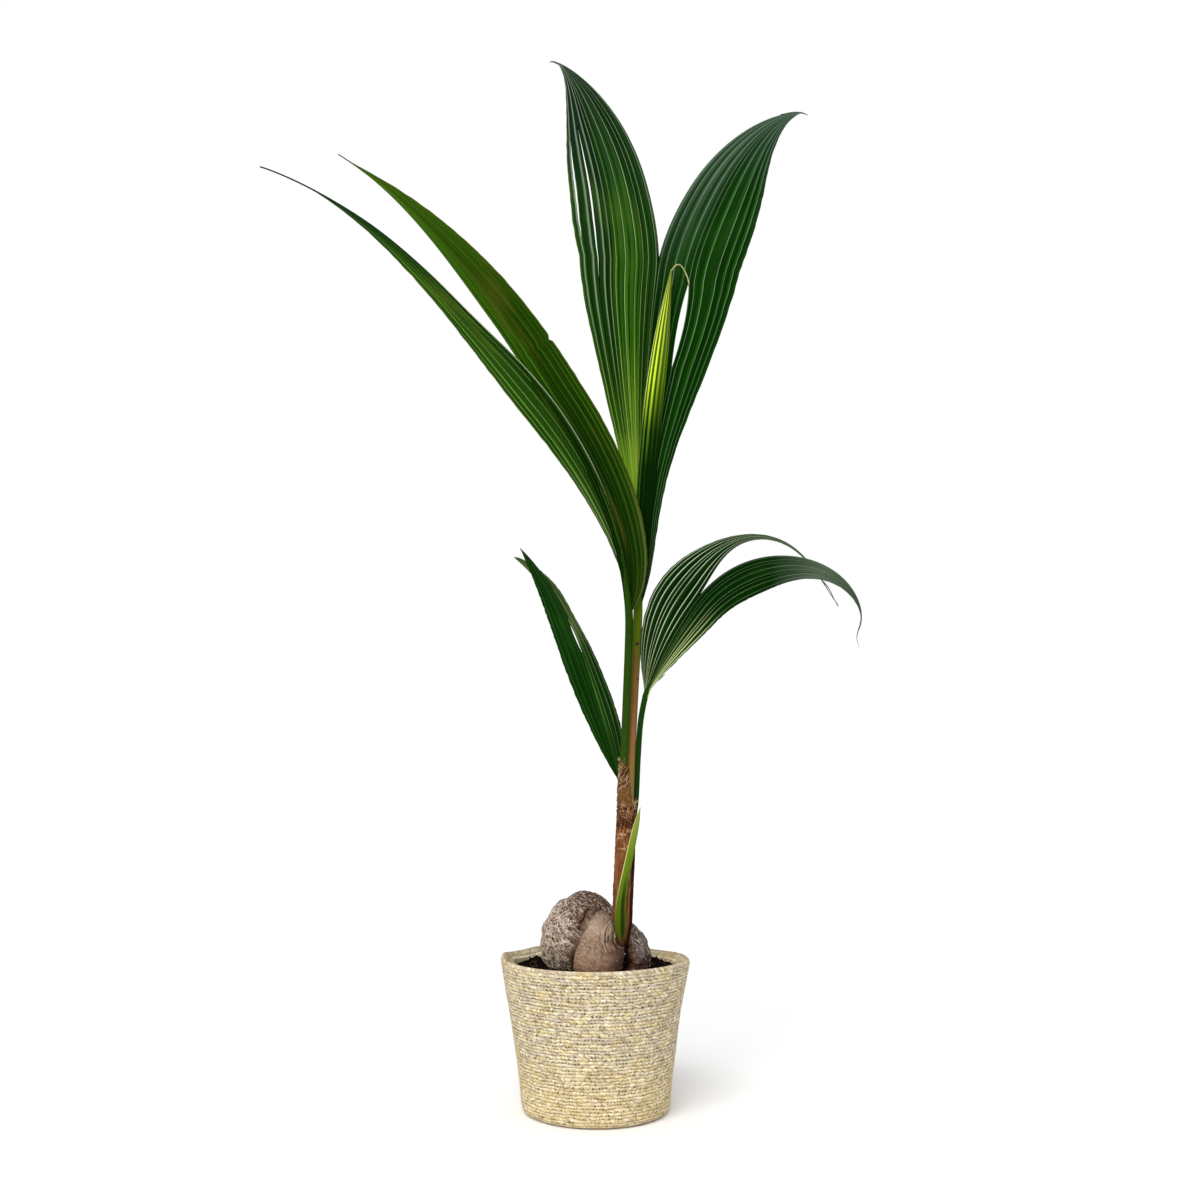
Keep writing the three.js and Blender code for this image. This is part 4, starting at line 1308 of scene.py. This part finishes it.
FIBRE = straight_fibre()
make_stage()
make_basket(seagrass_finish())
make_soil()
make_nut(husk_finish(), plain_fibre_finish("husk_fibre", (186, 168, 148), (232, 222, 206)))
make_stem(sheath_finish(), plain_fibre_finish("brown_fibre", (112, 70, 40), (178, 132, 92)),
          plain_fibre_finish("cream_fibre", (164, 118, 78), (226, 192, 150)))
make_first_leaf(first_leaf_finish())
dry_thread = plain_fibre_finish("dry_thread", (150, 140, 88), (204, 196, 140), 0.6)
make_spear(spear_finish())
make_rein(dry_thread)
dark_thread = plain_fibre_finish("dark_thread", (34, 46, 28), (72, 82, 58), 0.6)
make_thread(TALL_LEAF, TALL_LEAF.blades[0], 0.5, (0.976, 0.988), [(-2, 0.8, 0.6), (-7, 2.4, 0.8)], 2.4,
            dark_thread, "leaf_blade")
make_thread(TALL_LEAF, TALL_LEAF.blades[1], 0.1, (0.955, 0.975, 0.99), [(-0.5, 0, -0.2), (5, 1.6, -2)], 2.4,
            dark_thread, "leaf_blade")
make_thread(ARCHING_LEAF, ARCHING_LEAF.blades[0], 0.5, (0.87, 0.89),
            [(-11, 0, 21), (-6, 0, 11), (-1, 0, 0)], 0.9, dark_thread, "dark_leaf_blade")
make_thread(ARCHING_LEAF, ARCHING_LEAF.blades[1], 0.5, (0.97, 0.985),
            [(-0.6, 0, -3), (-1.5, 0, -10), (0.5, 0, -19)], 0.9, dark_thread, "dark_leaf_blade")
make_frayed_tips(plain_fibre_finish("pale_thread", (52, 72, 34), (120, 132, 88), 0.6))

green_stalk = stalk_finish(
    "green_stalk", (18, 44, 2),
    [(0.0, 40, 68, 12), (0.3, 34, 62, 8), (0.6, 40, 72, 10), (1.0, 40, 72, 12)])
brown_stalk = stalk_finish(
    "brown_stalk", (86, 66, 26),
    [(0.0, 120, 102, 50), (0.13, 134, 94, 54), (0.21, 116, 90, 40), (0.26, 80, 102, 14), (0.4, 70, 100, 12),
     (1.0, 40, 88, 14)],
    (46, 26, 20))
dark_stalk = stalk_finish(
    "dark_stalk", (10, 34, 4),
    [(0.0, 16, 48, 8), (0.5, 26, 62, 12), (0.75, 56, 90, 30), (1.0, 24, 62, 12)])
for leaf, finish in ((FRONT_LEAF, green_stalk), (TALL_LEAF, brown_stalk), (ARCHING_LEAF, dark_stalk),
                     (LOW_LEAF, dark_stalk)):
    make_stalk(leaf, finish)

outer_look = Part(
    light=[(0.0, 92, 124, 40), (0.3, 78, 136, 26), (0.7, 104, 160, 40), (0.86, 80, 112, 48),
           (1.0, 64, 74, 66)],
    shade=[(0.0, 14, 46, 2), (0.3, 10, 50, 4), (0.75, 14, 58, 10), (1.0, 34, 48, 40)],
    dim=[(0.0, 0.95), (0.25, 0.6), (0.45, 0.1), (0.85, 0.0), (1.0, 0.3)], facet=0.75,
    rib=[(0.0, 170, 184, 116), (1.0, 150, 172, 100)], rib_width=0.07, rib_share=0.85,
    edge=(96, 118, 26), inner_line=(186, 196, 160),
    gleam=Part(share=0.65, along=(0.35, 0.1), across=(0.55, 0.85), band=(0.3, 0.1), tint=(164, 172, 134)))
# Inner blade of the front leaf: painted shade across its outer part where it turns from the light, and by the
# foot a painted shadow of the outer blade over its inner part.
inner_look = Part(
    light=[(0.0, 66, 98, 24), (0.3, 66, 108, 18), (0.6, 64, 126, 14), (0.85, 96, 152, 28),
           (0.95, 140, 168, 48), (1.0, 180, 180, 90)],
    shade=[(0.0, 4, 34, 0), (0.3, 4, 36, 0), (0.6, 32, 60, 0), (1.0, 64, 98, 16)],
    dim=[(0.0, 0.2), (0.2, 0.0), (0.36, 0.3), (0.44, 0.95), (0.75, 0.75), (1.0, 0.5)],
    foot_dim=[(0.0, 1.0), (0.3, 0.95), (0.5, 0.6), (0.8, 0.3), (1.0, 0.1)], facet=0.7,
    rib=[(0.0, 104, 122, 52), (1.0, 104, 150, 44)], rib_width=0.06, rib_share=0.5, edge=(92, 90, 26),
    gleam=Part(share=0.4, along=(0.3, 0.1), across=(0.8, 1.0), band=(0.4, 0.2), tint=(120, 132, 80)))
# Left blade of the tall leaf: its pale yellow-green foot is painted light through the leaf, against the front
# leaf's shadow; its bluish tip is partly painted sheen.
left_look = Part(
    light=[(0.0, 240, 255, 132), (0.22, 232, 255, 104), (0.3, 168, 222, 58), (0.42, 88, 150, 26),
           (0.65, 48, 110, 8), (0.84, 28, 72, 10), (1.0, 50, 74, 62)],
    shade=[(0.0, 196, 234, 66), (0.15, 190, 232, 44), (0.21, 118, 172, 16), (0.28, 26, 74, 2),
           (0.36, 6, 46, 0), (1.0, 6, 30, 16)],
    dim=[(0.0, 0.7), (0.18, 0.35), (0.35, 0.0), (0.58, 0.15), (0.68, 0.9), (0.9, 0.85), (1.0, 0.4)],
    facet=0.75, edge=(64, 100, 16),
    rib=[(0.0, 190, 214, 110), (0.4, 160, 184, 120), (1.0, 150, 168, 136)], rib_width=0.05, rib_share=0.85,
    gleam=Part(share=0.5, along=(0.3, 0.5), across=(0.6, 0.7), band=(0.16, 0.07), tint=(112, 126, 114)))
# Right blade of the tall leaf: its greyer tip is painted sheen.
right_look = Part(
    light=[(0.0, 20, 64, 10), (0.4, 28, 88, 10), (0.75, 30, 86, 14), (0.88, 56, 92, 56),
           (1.0, 104, 122, 110)],
    shade=[(0.0, 0, 30, 0), (0.8, 2, 40, 0), (1.0, 40, 64, 50)],
    dim=[(0.0, 0.5), (0.3, 0.35), (0.6, 0.1), (0.85, 0.25), (1.0, 0.4)], facet=0.7, edge=(28, 70, 10),
    rib=[(0.0, 112, 134, 96), (1.0, 132, 152, 126)], rib_width=0.05, rib_share=0.8,
    gleam=Part(share=0.5, along=(0.5, 0.85), across=(0.6, 0.2), band=(0.44, 0.25), tint=(92, 114, 96)))
# Rear blade of the arching leaf: its wide pale ribs are partly painted highlights.
rear_arch_look = Part(
    light=[(0.0, 60, 94, 34), (0.3, 24, 70, 10), (1.0, 26, 54, 18)],
    shade=[(0.0, 4, 30, 0), (0.7, 0, 26, 0), (1.0, 14, 34, 12)],
    dim=[(0.0, 0.8), (0.5, 0.6), (1.0, 0.6)], facet=0.9, edge=(16, 48, 8),
    rib=[(0.0, 186, 204, 142), (0.3, 206, 218, 190), (1.0, 132, 150, 120)], rib_width=0.1, rib_share=0.9)
# Front blade of the arching leaf: the grey band at about three quarters of its length is painted sheen.
front_arch_look = Part(
    light=[(0.0, 100, 124, 60), (0.18, 46, 82, 24), (0.32, 8, 54, 2), (0.6, 8, 54, 2), (0.74, 112, 124, 108),
           (0.86, 78, 96, 74), (1.0, 32, 58, 30)],
    shade=[(0.0, 20, 48, 6), (0.3, 0, 30, 0), (0.6, 0, 30, 0), (0.76, 74, 90, 72), (1.0, 18, 38, 20)],
    dim=[(0.0, 0.6), (0.4, 0.4), (1.0, 0.3)], facet=0.8, edge=(22, 60, 14),
    rib=[(0.0, 196, 212, 150), (0.35, 140, 164, 126), (1.0, 112, 132, 106)], rib_width=0.04, rib_share=0.55,
    gleam=Part(share=0.8, along=(0.4, 0.14), across=(0.25, 0.75), band=(0.2, 0.07), tint=(206, 218, 150)))
low_front_look = Part(
    light=[(0.0, 28, 72, 10), (0.4, 6, 54, 0), (0.95, 8, 52, 2), (1.0, 60, 78, 34)],
    shade=[(0.0, 0, 34, 0), (1.0, 0, 40, 0)],
    dim=[(0.0, 0.3), (0.5, 0.2), (1.0, 0.4)], facet=0.4, edge=(24, 70, 10),
    rib=[(0.0, 90, 120, 60), (1.0, 78, 110, 50)], rib_width=0.04, rib_share=0.6)
low_rear_look = Part(
    light=[(0.0, 24, 66, 12), (0.5, 20, 60, 10), (0.6, 104, 120, 72), (0.92, 98, 116, 64), (1.0, 50, 74, 28)],
    shade=[(0.0, 2, 34, 0), (0.5, 4, 34, 0), (0.62, 50, 70, 30), (1.0, 40, 60, 20)],
    dim=[(0.0, 0.3), (0.6, 0.2), (1.0, 0.5)], facet=0.6, edge=(36, 62, 16),
    rib=[(0.0, 110, 136, 84), (1.0, 130, 148, 100)], rib_width=0.06, rib_share=0.7)
for leaf, slot, looks in ((FRONT_LEAF, "leaf_blade", (outer_look, inner_look)),
                          (TALL_LEAF, "leaf_blade", (left_look, right_look)),
                          (ARCHING_LEAF, "dark_leaf_blade", (rear_arch_look, front_arch_look)),
                          (LOW_LEAF, "dark_leaf_blade", (low_front_look, low_rear_look))):
    for blade, look in zip(leaf.blades, looks):
        finish = blade_finish(f"{leaf.name}_{blade.name}_green", blade.pleats, look)
        make_blade(leaf, blade, finish, slot)
